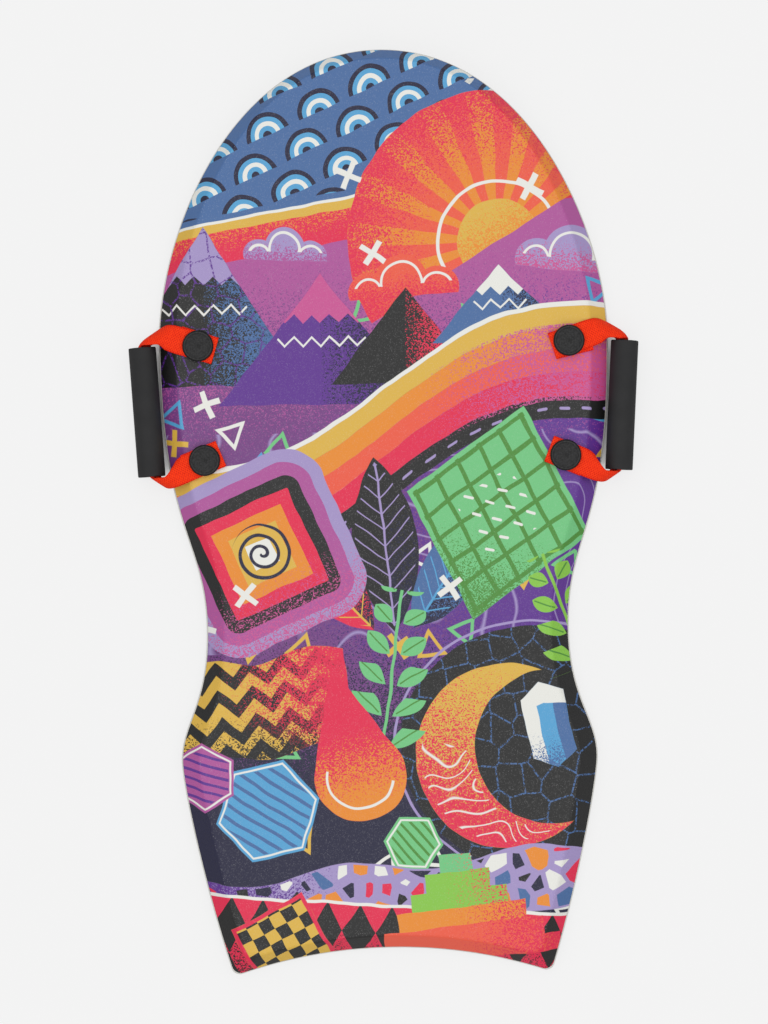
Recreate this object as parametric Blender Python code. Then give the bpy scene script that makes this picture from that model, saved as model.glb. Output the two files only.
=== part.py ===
"""Foam snow sled with two strap handles, lying on the ground with its nose towards +Y.

Metres, +Z up. The origin is on the ground, under the middle of the board's length and width.
The board is a foam core between a printed deck skin and a slick base skin. On each side a
length of webbing is held by two round caps, screwed together through the board, and carries
a tube grip that lies beside the board's edge.
"""

import math

import bmesh
import bpy
from mathutils import Matrix, Vector

# Board outline, seen from above
LENGTH = 0.920
SHOULDER_WIDTH = 0.449
WAIST_WIDTH = 0.362
HIP_WIDTH = 0.416
TAIL_WIDTH = 0.3192
SHOULDER_Y = 0.173
WAIST_Y = -0.117
HIP_Y = -0.246
TAIL_TAPER = math.radians(17.7)
TAIL_HOLLOW_RADIUS = 0.485
TAIL_CORNER_RADIUS = 0.0085

# Lengths of the outline's curve handles, which set how full each stretch is
NOSE_FULLNESS = 0.150
SHOULDER_FULLNESS_FRONT = 0.104
SHOULDER_FULLNESS_REAR = 0.196
WAIST_FULLNESS_FRONT = 0.095
WAIST_FULLNESS_REAR = 0.073
HIP_FULLNESS_FRONT = 0.038
HIP_FULLNESS_REAR = 0.022
TAIL_FULLNESS = 0.095

# Board section
THICKNESS = 0.030
DECK_SKIN = 0.0020
BASE_SKIN = 0.0012
CREASE_INSET = 0.019
NOSE_CREASE_INSET = 0.011
TAIL_CREASE_INSET = 0.0145
CREASE_RADIUS = 0.008
CREASE_CORNER_RADIUS = 0.015
CREASE_WIDENS = (0.1, 1.0)
EDGE_HEIGHT = 0.0107
EDGE_RADIUS = 0.003
RAIL_FOOT_INSET = 0.003
RAIL_RADIUS = 0.009
SEAM_INSET = 0.0013
ROCKER_START_Y = 0.200
NOSE_LIFT = 0.022

# Clearance between pieces that touch
GAP = 0.0003

# Caps on the deck and the screws that reach them from below
CAP_DIAMETER = 0.0310
CAP_HEIGHT = 0.0035
CAP_RIM_RADIUS = 0.0020
CAP_DIMPLE_DIAMETER = 0.0030
CAP_DIMPLE_DEPTH = 0.0006
CAP_FOOT_CHAMFER = 0.0004
BARREL_DIAMETER = 0.0090
SCREW_HEAD_DIAMETER = 0.0340
SCREW_HEAD_HEIGHT = 0.0020
SCREW_SHANK_DIAMETER = 0.0052
SCREW_LENGTH = 0.0200
SCREW_CHAMFER = 0.0005
SLOT_LENGTH = 0.0180
SLOT_WIDTH = 0.0024
SLOT_DEPTH = 0.0011
RECESS_CLEARANCE = 0.0025
RECESS_DRAFT = 0.0015
FRONT_CAP_Y = 0.1679
REAR_CAP_Y = 0.0540
FRONT_CAP_INSET = 0.0400
REAR_CAP_INSET = 0.0375

# Webbing
WEBBING_WIDTH = 0.026
WEBBING_THICKNESS = 0.0015
FOLD_REACH = 0.0177
TAIL_END_REACH = 0.0190
HINGE_MARGIN = 0.0045
FRONT_HEADING = math.radians(16.0)
REAR_HEADING = math.radians(-21.5)
FRONT_REACH = 0.042
REAR_REACH = 0.035
MOUTH_REACH = 0.027
MOUTH_DEPTH = 0.008

# Grips
GRIP_LENGTH = 0.1293
GRIP_DIAMETER = 0.0274
GRIP_WALL = 0.0036
GRIP_END_ROUND = 0.0012
LINER_WALL = 0.0022
LINER_RECESS = 0.006
GRIP_MIDDLE_Y = 0.1033
GRIP_TILT = math.radians(3.46)
GRIP_EDGE_GAP = 0.0012

# How finely the round forms are faceted
NOSE_STEPS = 14
WAIST_FRONT_STEPS = 8
WAIST_REAR_STEPS = 6
TAIL_SIDE_STEPS = 5
CORNER_STEPS = 4
HOLLOW_STEPS = 5
RAIL_STEPS = 3
EDGE_STEPS = 1
CREASE_STEPS = 3
CAP_RIM_STEPS = 2
GRIP_END_STEPS = 2
FOLD_STEPS = 6
CAP_SEGMENTS = 24
SCREW_SEGMENTS = 24
GRIP_SEGMENTS = 24
WEBBING_CROSS_STEPS = 6
ROOT_STEPS = 2
LEG_STEPS = 14

# Colours, as RGB with roughness
PRINT_PURPLE = (0.21, 0.09, 0.26)
BASE_GREY = (0.62, 0.61, 0.58)
FOAM_WHITE = (0.83, 0.83, 0.80)
WEBBING_ORANGE = (0.80, 0.07, 0.02)
CAP_BLACK = (0.045, 0.045, 0.047)
GRIP_BLACK = (0.055, 0.055, 0.057)
LINER_GREY = (0.10, 0.10, 0.10)


# General helpers
def material(name, colour, roughness):
    made = bpy.data.materials.new(name)
    made.use_nodes = True
    shader = made.node_tree.nodes["Principled BSDF"]
    shader.inputs["Base Color"].default_value = (*colour, 1)
    shader.inputs["Roughness"].default_value = roughness
    shader.inputs["Metallic"].default_value = 0.0
    made.diffuse_color = (*colour, 1)
    return made


def to_object(name, shape, finish=None, sharp_from=math.radians(35)):
    """Turns a bmesh into an object in the scene, with its faces pointing out."""
    bmesh.ops.recalc_face_normals(shape, faces=shape.faces[:])
    mesh = bpy.data.meshes.new(name)
    shape.to_mesh(mesh)
    shape.free()
    mesh.shade_smooth()
    mesh.set_sharp_from_angle(angle=sharp_from)
    made = bpy.data.objects.new(name, mesh)
    bpy.context.scene.collection.objects.link(made)
    if finish:
        mesh.materials.append(finish)
    return made


def empty(name, place):
    made = bpy.data.objects.new(name, None)
    made.empty_display_size = 0.02
    bpy.context.scene.collection.objects.link(made)
    made.matrix_world = place
    return made


def attach(child, parent):
    """Parents an object where it is, keeping its place in the world."""
    bpy.context.view_layer.update()
    child.parent = parent
    child.matrix_parent_inverse = parent.matrix_world.inverted()


def join_loops(shape, loops, first_cap=None, last_cap=None):
    """Skins a list of closed loops of equal length, with a function that fills each end."""
    rows = [[shape.verts.new(point) for point in loop] for loop in loops]
    count = len(rows[0])
    for near, far in zip(rows, rows[1:]):
        for i in range(count):
            j = (i + 1) % count
            shape.faces.new((near[i], near[j], far[j], far[i]))
    for row, cap in ((rows[0], first_cap), (rows[-1], last_cap)):
        if cap:
            cap(shape, row)


def plain_cap(shape, row):
    shape.faces.new(row)


def turned(profile, segments):
    """Turns a profile of (radius, height) points about Z. Points with no radius close it."""
    shape = bmesh.new()
    rows = []
    for radius, height in profile:
        if radius == 0:
            rows.append([shape.verts.new((0, 0, height))] * segments)
            continue
        turns = [2 * math.pi * k / segments for k in range(segments)]
        rows.append(
            [shape.verts.new((radius * math.cos(a), radius * math.sin(a), height)) for a in turns]
        )
    pairs = list(zip(rows, rows[1:]))
    if profile[0][0] and profile[-1][0]:
        pairs.append((rows[-1], rows[0]))
    for near, far in pairs:
        for i in range(segments):
            j = (i + 1) % segments
            corners = [near[i], near[j], far[j], far[i]]
            shape.faces.new(list(dict.fromkeys(corners)))
    return shape


def quarter_round(radius, height, round_radius, steps):
    """The rounded upper edge of a turned profile, from its top face down to its side."""
    centre = (radius - round_radius, height - round_radius)
    angles = [math.pi / 2 * (1 - k / steps) for k in range(steps + 1)]
    return [
        (centre[0] + round_radius * math.cos(a), centre[1] + round_radius * math.sin(a))
        for a in angles
    ]


def cut(target, cutter, operation="DIFFERENCE"):
    """Adds a Boolean with a cutter that stays out of the render."""
    modifier = target.modifiers.new(cutter.name, "BOOLEAN")
    modifier.operation = operation
    modifier.object = cutter
    cutter.hide_render = True
    cutter.display_type = "WIRE"


def smoothstep(value, start, end):
    share = min(max((value - start) / (end - start), 0.0), 1.0)
    return share * share * (3 - 2 * share)


def bezier(points, t):
    """The point at t on a cubic curve, and its direction."""
    a, b, c, d = points
    s = 1 - t
    place = a * s**3 + b * (3 * s * s * t) + c * (3 * s * t * t) + d * t**3
    heading = (b - a) * (3 * s * s) + (c - b) * (6 * s * t) + (d - c) * (3 * t * t)
    return place, heading.normalized()


# Board outline
def edge_stretches():
    """The right-hand edge as cubic curves: nose to shoulder, to waist, to hip, to tail."""
    back = Vector((0, -1))
    nose = Vector((0, LENGTH / 2))
    shoulder = Vector((SHOULDER_WIDTH / 2, SHOULDER_Y))
    waist = Vector((WAIST_WIDTH / 2, WAIST_Y))
    hip = Vector((HIP_WIDTH / 2, HIP_Y))
    tail = Vector((TAIL_WIDTH / 2, -LENGTH / 2))
    run_out = Vector((-math.sin(TAIL_TAPER), -math.cos(TAIL_TAPER)))
    return (
        (
            nose,
            nose + Vector((NOSE_FULLNESS, 0)),
            shoulder - back * SHOULDER_FULLNESS_FRONT,
            shoulder,
        ),
        (
            shoulder,
            shoulder + back * SHOULDER_FULLNESS_REAR,
            waist - back * WAIST_FULLNESS_FRONT,
            waist,
        ),
        (waist, waist + back * WAIST_FULLNESS_REAR, hip - back * HIP_FULLNESS_FRONT, hip),
        (hip, hip + back * HIP_FULLNESS_REAR, tail - run_out * TAIL_FULLNESS, tail),
    )


STRETCHES = edge_stretches()


def edge_at(t):
    """A point on the edge, with t running from 0 at the nose to 4 at the tail, and its inward normal."""
    index = min(int(t), 3)
    place, heading = bezier(STRETCHES[index], t - index)
    return place, Vector((heading.y, -heading.x))


def bisect(function, low, high):
    """The value between low and high where a falling function passes zero."""
    for _ in range(48):
        middle = (low + high) / 2
        if function(middle) > 0:
            low = middle
        else:
            high = middle
    return (low + high) / 2


def half_width_at(y):
    t = bisect(lambda value: edge_at(value)[0].y - y, 0.0, 4.0)
    return edge_at(t)[0].x


def tail_hollow_centre():
    """The hollow's circle meets corners whose lowest points are at the board's full length."""
    low = TAIL_CORNER_RADIUS - LENGTH / 2

    def height(t):
        place, inward = edge_at(t)
        return place.y + inward.y * TAIL_CORNER_RADIUS - low

    place, inward = edge_at(bisect(height, 3.0, 4.0))
    corner = place + inward * TAIL_CORNER_RADIUS
    reach = TAIL_HOLLOW_RADIUS + TAIL_CORNER_RADIUS
    return Vector((0, corner.y - math.sqrt(reach**2 - corner.x**2)))


HOLLOW_CENTRE = tail_hollow_centre()


def inset_share(t):
    """How much of a side inset is used at t: the section is narrower towards the nose."""
    nose_share = NOSE_CREASE_INSET / CREASE_INSET
    return nose_share + (1 - nose_share) * smoothstep(t, *CREASE_WIDENS)


def outline(inset, corner_radius):
    """The right half of the outline moved inwards, from the nose tip to the middle of the tail."""
    tail_inset = inset * TAIL_CREASE_INSET / CREASE_INSET
    reach = TAIL_HOLLOW_RADIUS + tail_inset

    def moved(t, distance):
        place, inward = edge_at(t)
        return place + inward * distance

    def corner_gap(t):
        centre = moved(t, inset * inset_share(t) + corner_radius)
        return (centre - HOLLOW_CENTRE).length - reach - corner_radius

    end = bisect(corner_gap, 3.0, 4.0)
    counts = (NOSE_STEPS, WAIST_FRONT_STEPS, WAIST_REAR_STEPS)
    turns = [index + k / count for index, count in enumerate(counts) for k in range(count)]
    turns += [3 + (end - 3) * k / TAIL_SIDE_STEPS for k in range(TAIL_SIDE_STEPS + 1)]
    points = [moved(t, inset * inset_share(t)) for t in turns]

    centre = moved(end, inset * inset_share(end) + corner_radius)
    start = math.atan2(*reversed(points[-1] - centre))
    to_hollow = HOLLOW_CENTRE - centre
    finish = math.atan2(to_hollow.y, to_hollow.x)
    for k in range(1, CORNER_STEPS + 1):
        angle = start + (finish - start) * k / CORNER_STEPS
        points.append(centre + corner_radius * Vector((math.cos(angle), math.sin(angle))))
    half_angle = math.atan2(points[-1].x - HOLLOW_CENTRE.x, points[-1].y - HOLLOW_CENTRE.y)
    for k in range(1, HOLLOW_STEPS + 1):
        angle = half_angle * (1 - k / HOLLOW_STEPS)
        points.append(HOLLOW_CENTRE + reach * Vector((math.sin(angle), math.cos(angle))))
    return points


def rocker(y):
    """How far the nose curves up, as an arc that starts where the base's flat ends."""
    run = LENGTH / 2 - ROCKER_START_Y
    radius = (run**2 + NOSE_LIFT**2) / (2 * NOSE_LIFT)
    past = min(max(y - ROCKER_START_Y, 0.0), run)
    return radius - math.sqrt(radius**2 - past**2)


def ring(inset, height):
    """A closed loop round the board at one point of its section."""
    share = min(inset / CREASE_INSET, 1.0)
    corner_radius = TAIL_CORNER_RADIUS + (CREASE_CORNER_RADIUS - TAIL_CORNER_RADIUS) * share
    right = outline(inset, corner_radius)
    loop = [Vector((p.x, p.y, height + rocker(p.y))) for p in right]
    left = [Vector((-p.x, p.y, p.z)) for p in loop[1:-1]]
    return loop + left[::-1]


def board_cap(shape, row):
    """Fills a loop of the board: strips across the curved nose, and one flat face behind it."""
    count = len(row)
    step = 0
    while row[step + 1].co.y > ROCKER_START_Y:
        corners = [row[step], row[step + 1], row[-step - 1], row[-step % count]]
        shape.faces.new(list(dict.fromkeys(corners)))
        step += 1
    shape.faces.new(row[step : count - step + 1] if step else row)


# Board section
def rounded(corner, before, after, radius, steps):
    """An arc that rounds a corner between two neighbours."""
    back = (before - corner).normalized()
    on = (after - corner).normalized()
    half = math.acos(max(-1.0, min(1.0, back.dot(on)))) / 2
    middle = corner + (back + on).normalized() * (radius / math.sin(half))
    start = corner + back * (radius / math.tan(half))
    sweep = math.pi - 2 * half
    side = 1 if back.x * on.y - back.y * on.x < 0 else -1
    arm = start - middle
    points = []
    for k in range(steps + 1):
        angle = side * sweep * k / steps
        turn = Matrix.Rotation(angle, 2)
        points.append(middle + turn @ arm)
    return points


def section():
    """The board's outer section as (inset, height) points: base part up to the seam, then deck part."""
    inside = CREASE_INSET + THICKNESS
    floor = Vector((inside, 0))
    foot = Vector((RAIL_FOOT_INSET, 0))
    edge = Vector((0, EDGE_HEIGHT))
    crease = Vector((CREASE_INSET, THICKNESS))
    deck = Vector((inside, THICKNESS))
    rail = rounded(foot, floor, edge, RAIL_RADIUS, RAIL_STEPS)
    side = rounded(edge, foot, crease, EDGE_RADIUS, EDGE_STEPS)
    top = rounded(crease, edge, deck, CREASE_RADIUS, CREASE_STEPS)
    widest = min(point.x for point in rail + side)
    slope = (top[0] - side[-1]).normalized()
    seam = side[-1] + slope * ((SEAM_INSET + widest - side[-1].x) / slope.x)
    shift = Vector((widest, 0))
    base = [point - shift for point in rail + side + [seam - slope * (GAP / 2)]]
    deck_part = [point - shift for point in [seam + slope * (GAP / 2)] + top]
    return base, deck_part


def thickened(line, distance):
    """A section line moved into the board by a distance, square to itself."""
    moved = []
    for k, point in enumerate(line):
        legs = []
        if k > 0:
            legs.append((point - line[k - 1]).normalized())
        if k < len(line) - 1:
            legs.append((line[k + 1] - point).normalized())
        normals = [Vector((leg.y, -leg.x)) for leg in legs]
        middle = sum(normals, Vector((0, 0))).normalized()
        moved.append(point + middle * (distance / middle.dot(normals[0])))
    return moved


BASE_LINE, DECK_LINE = section()


def board_shell(name, line, finish):
    shape = bmesh.new()
    join_loops(shape, [ring(*point) for point in line], board_cap, board_cap)
    return to_object(name, shape, finish, math.radians(50))


def make_board():
    """Deck skin, core and base skin, drilled for the four fasteners."""
    deck_inner = thickened(DECK_LINE, DECK_SKIN)
    deck = board_shell(
        "deck_skin", DECK_LINE[::-1] + deck_inner, material("printed_film", PRINT_PURPLE, 0.5)
    )
    base_inner = thickened(BASE_LINE, BASE_SKIN)
    base = board_shell(
        "slick_base", BASE_LINE + base_inner[::-1], material("slick_film", BASE_GREY, 0.3)
    )
    core_line = thickened(BASE_LINE, BASE_SKIN + GAP) + thickened(DECK_LINE, DECK_SKIN + GAP)
    core = board_shell("foam_core", core_line, material("foam", FOAM_WHITE, 0.9))

    barrel_hole = BARREL_DIAMETER + 2 * GAP
    shank_hole = SCREW_SHANK_DIAMETER + 2 * GAP
    core_recess = BASE_SKIN + GAP
    cut(base, recess_plugs("base_bosses", BASE_SKIN, BASE_SKIN / 2), "UNION")
    cut(base, recess_plugs("base_recesses", 0.0, -RECESS_DEPTH))
    cut(base, drills("base_drills", shank_hole))
    cut(core, recess_plugs("core_recesses", core_recess, -RECESS_DEPTH))
    for target in (core, deck):
        cut(target, drills(target.name + "_drills", barrel_hole))


# Fasteners
RECESS_DEPTH = SCREW_HEAD_HEIGHT + 2 * GAP
LAYER_STEP = WEBBING_THICKNESS + GAP
LOWER_LAYER_Z = THICKNESS + GAP
UPPER_LAYER_Z = LOWER_LAYER_Z + LAYER_STEP
CAP_Z = UPPER_LAYER_Z + LAYER_STEP
BARREL_END_Z = RECESS_DEPTH + BASE_SKIN + GAP


def cap_places():
    """Front and rear cap centres on the right-hand side, on the ground plane."""
    front = Vector((half_width_at(FRONT_CAP_Y) - FRONT_CAP_INSET, FRONT_CAP_Y, 0))
    rear = Vector((half_width_at(REAR_CAP_Y) - REAR_CAP_INSET, REAR_CAP_Y, 0))
    return front, rear


FRONT_CAP, REAR_CAP = cap_places()


def all_cap_places():
    for side in (-1, 1):
        for place in (FRONT_CAP, REAR_CAP):
            yield Vector((side * place.x, place.y, 0))


def at_every_cap(name, make_shape):
    """One cutter made of the same turned shape at each fastener."""
    shape = bmesh.new()
    for place in all_cap_places():
        piece = make_shape()
        bmesh.ops.translate(piece, verts=piece.verts[:], vec=place)
        mesh = bpy.data.meshes.new(name)
        piece.to_mesh(mesh)
        piece.free()
        shape.from_mesh(mesh)
        bpy.data.meshes.remove(mesh)
    return to_object(name, shape)


def drills(name, diameter):
    reach = 2 * THICKNESS
    profile = [(0, -reach), (diameter / 2, -reach), (diameter / 2, reach), (0, reach)]
    return at_every_cap(name, lambda: turned(profile, SCREW_SEGMENTS))


def recess_plugs(name, outset, foot):
    """Drafted plugs of the recess round each screw head, grown by a skin's thickness."""
    top = RECESS_DEPTH + outset
    high = SCREW_HEAD_DIAMETER / 2 + RECESS_CLEARANCE + outset
    low = high + RECESS_DRAFT / RECESS_DEPTH * (top - foot)
    profile = [(0, foot), (low, foot), (high, top), (0, top)]
    return at_every_cap(name, lambda: turned(profile, SCREW_SEGMENTS))


def cap_shape():
    """A low round cap with a dimple, on a hollow barrel that takes the screw."""
    rim = CAP_DIAMETER / 2
    barrel = BARREL_DIAMETER / 2
    bore = SCREW_SHANK_DIAMETER / 2 + GAP
    bore_top = SCREW_LENGTH + GAP
    profile = [
        (0, CAP_HEIGHT - CAP_DIMPLE_DEPTH),
        (CAP_DIMPLE_DIAMETER / 2, CAP_HEIGHT),
    ]
    profile += quarter_round(rim, CAP_HEIGHT, CAP_RIM_RADIUS, CAP_RIM_STEPS)
    profile += [
        (rim, CAP_FOOT_CHAMFER),
        (rim - CAP_FOOT_CHAMFER, 0),
        (barrel, 0),
        (barrel, BARREL_END_Z - CAP_Z),
        (bore, BARREL_END_Z - CAP_Z),
        (bore, bore_top - CAP_Z),
        (0, bore_top - CAP_Z),
    ]
    return turned(profile, CAP_SEGMENTS)


def screw_shape():
    """A wide flat head that fills its recess, and a shank that runs up into the barrel."""
    head = SCREW_HEAD_DIAMETER / 2
    shank = SCREW_SHANK_DIAMETER / 2
    profile = [
        (0, 0),
        (head - SCREW_CHAMFER, 0),
        (head, SCREW_CHAMFER),
        (head, SCREW_HEAD_HEIGHT),
        (shank, SCREW_HEAD_HEIGHT),
        (shank, SCREW_LENGTH - SCREW_CHAMFER),
        (shank - SCREW_CHAMFER, SCREW_LENGTH),
        (0, SCREW_LENGTH),
    ]
    return turned(profile, SCREW_SEGMENTS)


def box_shape(size_x, size_y, size_z):
    shape = bmesh.new()
    bmesh.ops.create_cube(shape, size=1, matrix=Matrix.Diagonal((size_x, size_y, size_z, 1)))
    return shape


def make_fasteners():
    cap_finish = material("cap_plastic", CAP_BLACK, 0.55)
    screw_finish = material("screw_plastic", CAP_BLACK, 0.45)
    for side, side_name in ((-1, "left"), (1, "right")):
        for place, end_name in ((FRONT_CAP, "front"), (REAR_CAP, "rear")):
            spot = Vector((side * place.x, place.y, 0))
            cap = to_object(f"{side_name}_{end_name}_cap", cap_shape(), cap_finish)
            cap.location = spot + Vector((0, 0, CAP_Z))
            screw = to_object(f"{side_name}_{end_name}_screw", screw_shape(), screw_finish)
            screw.location = spot + Vector((0, 0, GAP))
            slot_box = box_shape(SLOT_LENGTH, SLOT_WIDTH, 2 * SLOT_DEPTH)
            slot = to_object(screw.name + "_slot", slot_box)
            slot.location = screw.location
            cut(screw, slot)


# Grips
GRIP_HEIGHT = GRIP_DIAMETER / 2 + GAP
LINER_OUTER = GRIP_DIAMETER / 2 - GRIP_WALL - GAP
LINER_INNER = LINER_OUTER - LINER_WALL
CURL_RADIUS = LINER_INNER - GAP - WEBBING_THICKNESS / 2


def grip_centre():
    """The right-hand grip lies on the ground, just clear of the board's edge along its length."""
    tangent = math.tan(GRIP_TILT)
    reach = GRIP_EDGE_GAP + GRIP_DIAMETER / 2 / math.cos(GRIP_TILT)
    steps = 24
    furthest = 0.0
    for k in range(steps + 1):
        along = GRIP_LENGTH * (k / steps - 0.5)
        furthest = max(furthest, half_width_at(GRIP_MIDDLE_Y + along) + reach - along * tangent)
    return Vector((furthest, GRIP_MIDDLE_Y, GRIP_HEIGHT))


GRIP_CENTRE = grip_centre()
GRIP_FORWARD = Vector((math.sin(GRIP_TILT), math.cos(GRIP_TILT), 0))


def sleeve_shape():
    """A soft tube with rounded ends."""
    outer = GRIP_DIAMETER / 2
    inner = outer - GRIP_WALL
    half = GRIP_LENGTH / 2
    upper = [(inner, half)] + quarter_round(outer, half, GRIP_END_ROUND, GRIP_END_STEPS)
    lower = [(radius, -height) for radius, height in reversed(upper)]
    return turned(upper + lower, GRIP_SEGMENTS)


def liner_shape():
    """A hard tube that keeps the soft one round, set back from its ends."""
    half = GRIP_LENGTH / 2 - LINER_RECESS
    profile = [(LINER_INNER, half), (LINER_OUTER, half), (LINER_OUTER, -half), (LINER_INNER, -half)]
    return turned(profile, GRIP_SEGMENTS)


def grip_frame(side):
    """Local Z runs along the grip, towards the nose."""
    forward = Vector((side * GRIP_FORWARD.x, GRIP_FORWARD.y, 0))
    up = Vector((0, 0, 1))
    across = up.cross(forward)
    turn = Matrix((across, up, forward)).transposed().to_4x4()
    centre = Vector((side * GRIP_CENTRE.x, GRIP_CENTRE.y, GRIP_CENTRE.z))
    return Matrix.Translation(centre) @ turn


def make_grip(side, side_name, sleeve_finish, liner_finish):
    sleeve = to_object(f"{side_name}_grip_sleeve", sleeve_shape(), sleeve_finish)
    liner = to_object(f"{side_name}_grip_liner", liner_shape(), liner_finish)
    for piece in (sleeve, liner):
        piece.matrix_world = grip_frame(side)
    return sleeve, liner


# Webbing
UP = Vector((0, 0, 1))
LAYER_MIDDLE_Z = UPPER_LAYER_Z + WEBBING_THICKNESS / 2
HINGE_Z = UPPER_LAYER_Z + WEBBING_THICKNESS


def hinge_line():
    """A point on the right-hand fold line of the webbing, and its direction, just outboard of both caps."""
    along = (FRONT_CAP - REAR_CAP).normalized()
    outward = Vector((along.y, -along.x, 0))
    point = REAR_CAP + outward * (CAP_DIAMETER / 2 + HINGE_MARGIN)
    return point + UP * HINGE_Z, along, outward


HINGE_POINT, HINGE_ALONG, HINGE_OUTWARD = hinge_line()


def past_hinge(point):
    return (point - HINGE_POINT).dot(HINGE_OUTWARD)


class Leg:
    """One leg of a strap, from its cap, over the board's edge and into an end of the grip."""

    # Shares of the path where it is square across, sinks, rolls over and curls
    SQUARE_AT = 0.30
    SINK = (0.36, 0.97)
    ROLL = (0.28, 0.86)
    TUCK = (0.20, 0.50)
    TUCK_SHARE = 0.35
    CURL = (0.62, 0.94)

    def __init__(self, cap, heading, reach, end):
        """reach is how far it keeps its heading; end is 1 for the front leg and -1 for the rear one."""
        self.along = Vector((math.cos(heading), math.sin(heading), 0))
        self.outer = end * Vector((-self.along.y, self.along.x, 0))
        self.into = -end * GRIP_FORWARD
        self.fold = (self.along + self.into).normalized()
        beyond = self.along - self.fold * self.along.dot(self.fold)
        self.beyond = beyond.normalized()
        mouth = GRIP_CENTRE + end * GRIP_FORWARD * (GRIP_LENGTH / 2 - MOUTH_DEPTH)
        start = cap + UP * LAYER_MIDDLE_Z
        self.path = (
            start,
            start + self.along * reach,
            mouth - self.into * MOUTH_REACH,
            mouth,
        )
        self.top = LAYER_MIDDLE_Z
        self.bottom = GRIP_CENTRE.z - CURL_RADIUS

    def frame(self, t):
        """Middle of the webbing at t, the way to its outer edge, and its outward face."""
        middle = bezier(self.path, t)[0]
        middle.z = self.top + (self.bottom - self.top) * smoothstep(t, *self.SINK)
        roll = math.pi * smoothstep(t, *self.ROLL)
        swing = self.beyond * math.cos(roll) - UP * math.sin(roll)
        edge = self.fold * self.outer.dot(self.fold) + swing * self.outer.dot(self.beyond)
        face = UP * math.cos(roll) + self.beyond * math.sin(roll)
        return middle, edge, face

    def point(self, t, across, lift):
        """A point of the webbing: across from its middle line, lift out from its middle layer."""
        middle, edge, face = self.frame(t)
        tuck = self.TUCK_SHARE * smoothstep(t, *self.TUCK) if across < 0 else 0.0
        curl = (tuck + (1 - tuck) * smoothstep(t, *self.CURL)) / CURL_RADIUS
        if curl < 1e-6:
            return middle + edge * across + face * lift
        angle = across * curl
        radius = 1 / curl
        sideways = edge * ((radius + lift) * math.sin(angle))
        return middle + sideways + face * ((radius + lift) * math.cos(angle) - radius)

    def root(self, across):
        """Where the webbing crosses its fold line, half a gap past it."""
        return bisect(lambda t: GAP / 2 - past_hinge(self.point(t, across, 0)), 0.0, 0.5)

    def stations(self):
        """Loops of the webbing's section, from its root to its straight stretch in the grip."""
        return [
            webbing_loop(lambda across, lift, k=k: self.point(self.turn(k, across), across, lift))
            for k in range(ROOT_STEPS + LEG_STEPS + 1)
        ]

    def turn(self, step, across):
        """The share of the path at a step. The first steps run from the slanting root to a square section."""
        if step < ROOT_STEPS:
            root = self.root(across)
            return root + (self.SQUARE_AT - root) * step / ROOT_STEPS
        return self.SQUARE_AT + (1 - self.SQUARE_AT) * (step - ROOT_STEPS) / LEG_STEPS


FRONT_LEG = Leg(FRONT_CAP, FRONT_HEADING, FRONT_REACH, 1)
REAR_LEG = Leg(REAR_CAP, REAR_HEADING, REAR_REACH, -1)


def webbing_loop(place):
    """One closed loop round the webbing's section: out along its face and back along its underside."""
    half = WEBBING_THICKNESS / 2
    steps = range(WEBBING_CROSS_STEPS + 1)
    offsets = [WEBBING_WIDTH * (k / WEBBING_CROSS_STEPS - 0.5) for k in steps]
    return [place(a, half) for a in offsets] + [place(a, -half) for a in reversed(offsets)]


def mirrored(points, side):
    return [Vector((side * p.x, p.y, p.z)) for p in points]


def hinge_frame(side):
    """Local Y runs along the fold line, towards the nose."""
    along = Vector((side * HINGE_ALONG.x, HINGE_ALONG.y, 0))
    turn = Matrix((along.cross(UP), along, UP)).transposed().to_4x4()
    middle = HINGE_POINT + HINGE_ALONG * ((FRONT_CAP - REAR_CAP).length / 2)
    return Matrix.Translation(Vector((side * middle.x, middle.y, middle.z))) @ turn


def make_strap(side, side_name, finish):
    """The free length of webbing: front leg, through the grip, and back along the rear leg."""
    loops = FRONT_LEG.stations() + REAR_LEG.stations()[::-1]
    shape = bmesh.new()
    join_loops(shape, [mirrored(loop, side) for loop in loops], plain_cap, plain_cap)
    frame = hinge_frame(side)
    bmesh.ops.transform(shape, matrix=frame.inverted(), verts=shape.verts[:])
    strap = to_object(f"{side_name}_strap", shape, finish)
    strap.matrix_world = frame
    return strap


def tab_loop(leg, cap, across):
    """Side view of a folded end: cut end, lower layer, fold, and upper layer up to the fold line."""
    start = cap + leg.outer * across
    upper_end = bisect(
        lambda s: -GAP / 2 - past_hinge(start + leg.along * s), 0.0, CAP_DIAMETER
    )
    outer_radius = WEBBING_THICKNESS + GAP / 2
    fold_middle = UPPER_LAYER_Z - GAP / 2
    turn_centre = outer_radius - FOLD_REACH
    side_view = [(TAIL_END_REACH, LOWER_LAYER_Z)]
    for radius, order in ((outer_radius, 1), (GAP / 2, -1)):
        arc = [
            (
                turn_centre - radius * math.cos(math.pi * (k / FOLD_STEPS - 0.5)),
                fold_middle + radius * math.sin(math.pi * (k / FOLD_STEPS - 0.5)),
            )
            for k in range(FOLD_STEPS + 1)
        ]
        side_view += arc[::order]
        if order == 1:
            side_view += [(upper_end, fold_middle + outer_radius), (upper_end, fold_middle + GAP / 2)]
    side_view.append((TAIL_END_REACH, LOWER_LAYER_Z + WEBBING_THICKNESS))
    return [start + leg.along * s + UP * z for s, z in side_view]


def make_tab(side, name, leg, cap, finish):
    """The end of the webbing, folded double and held under a cap."""
    half = WEBBING_WIDTH / 2
    shape = bmesh.new()
    loops = [mirrored(tab_loop(leg, cap, across), side) for across in (-half, half)]
    join_loops(shape, loops, plain_cap, plain_cap)
    return to_object(name, shape, finish)


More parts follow.
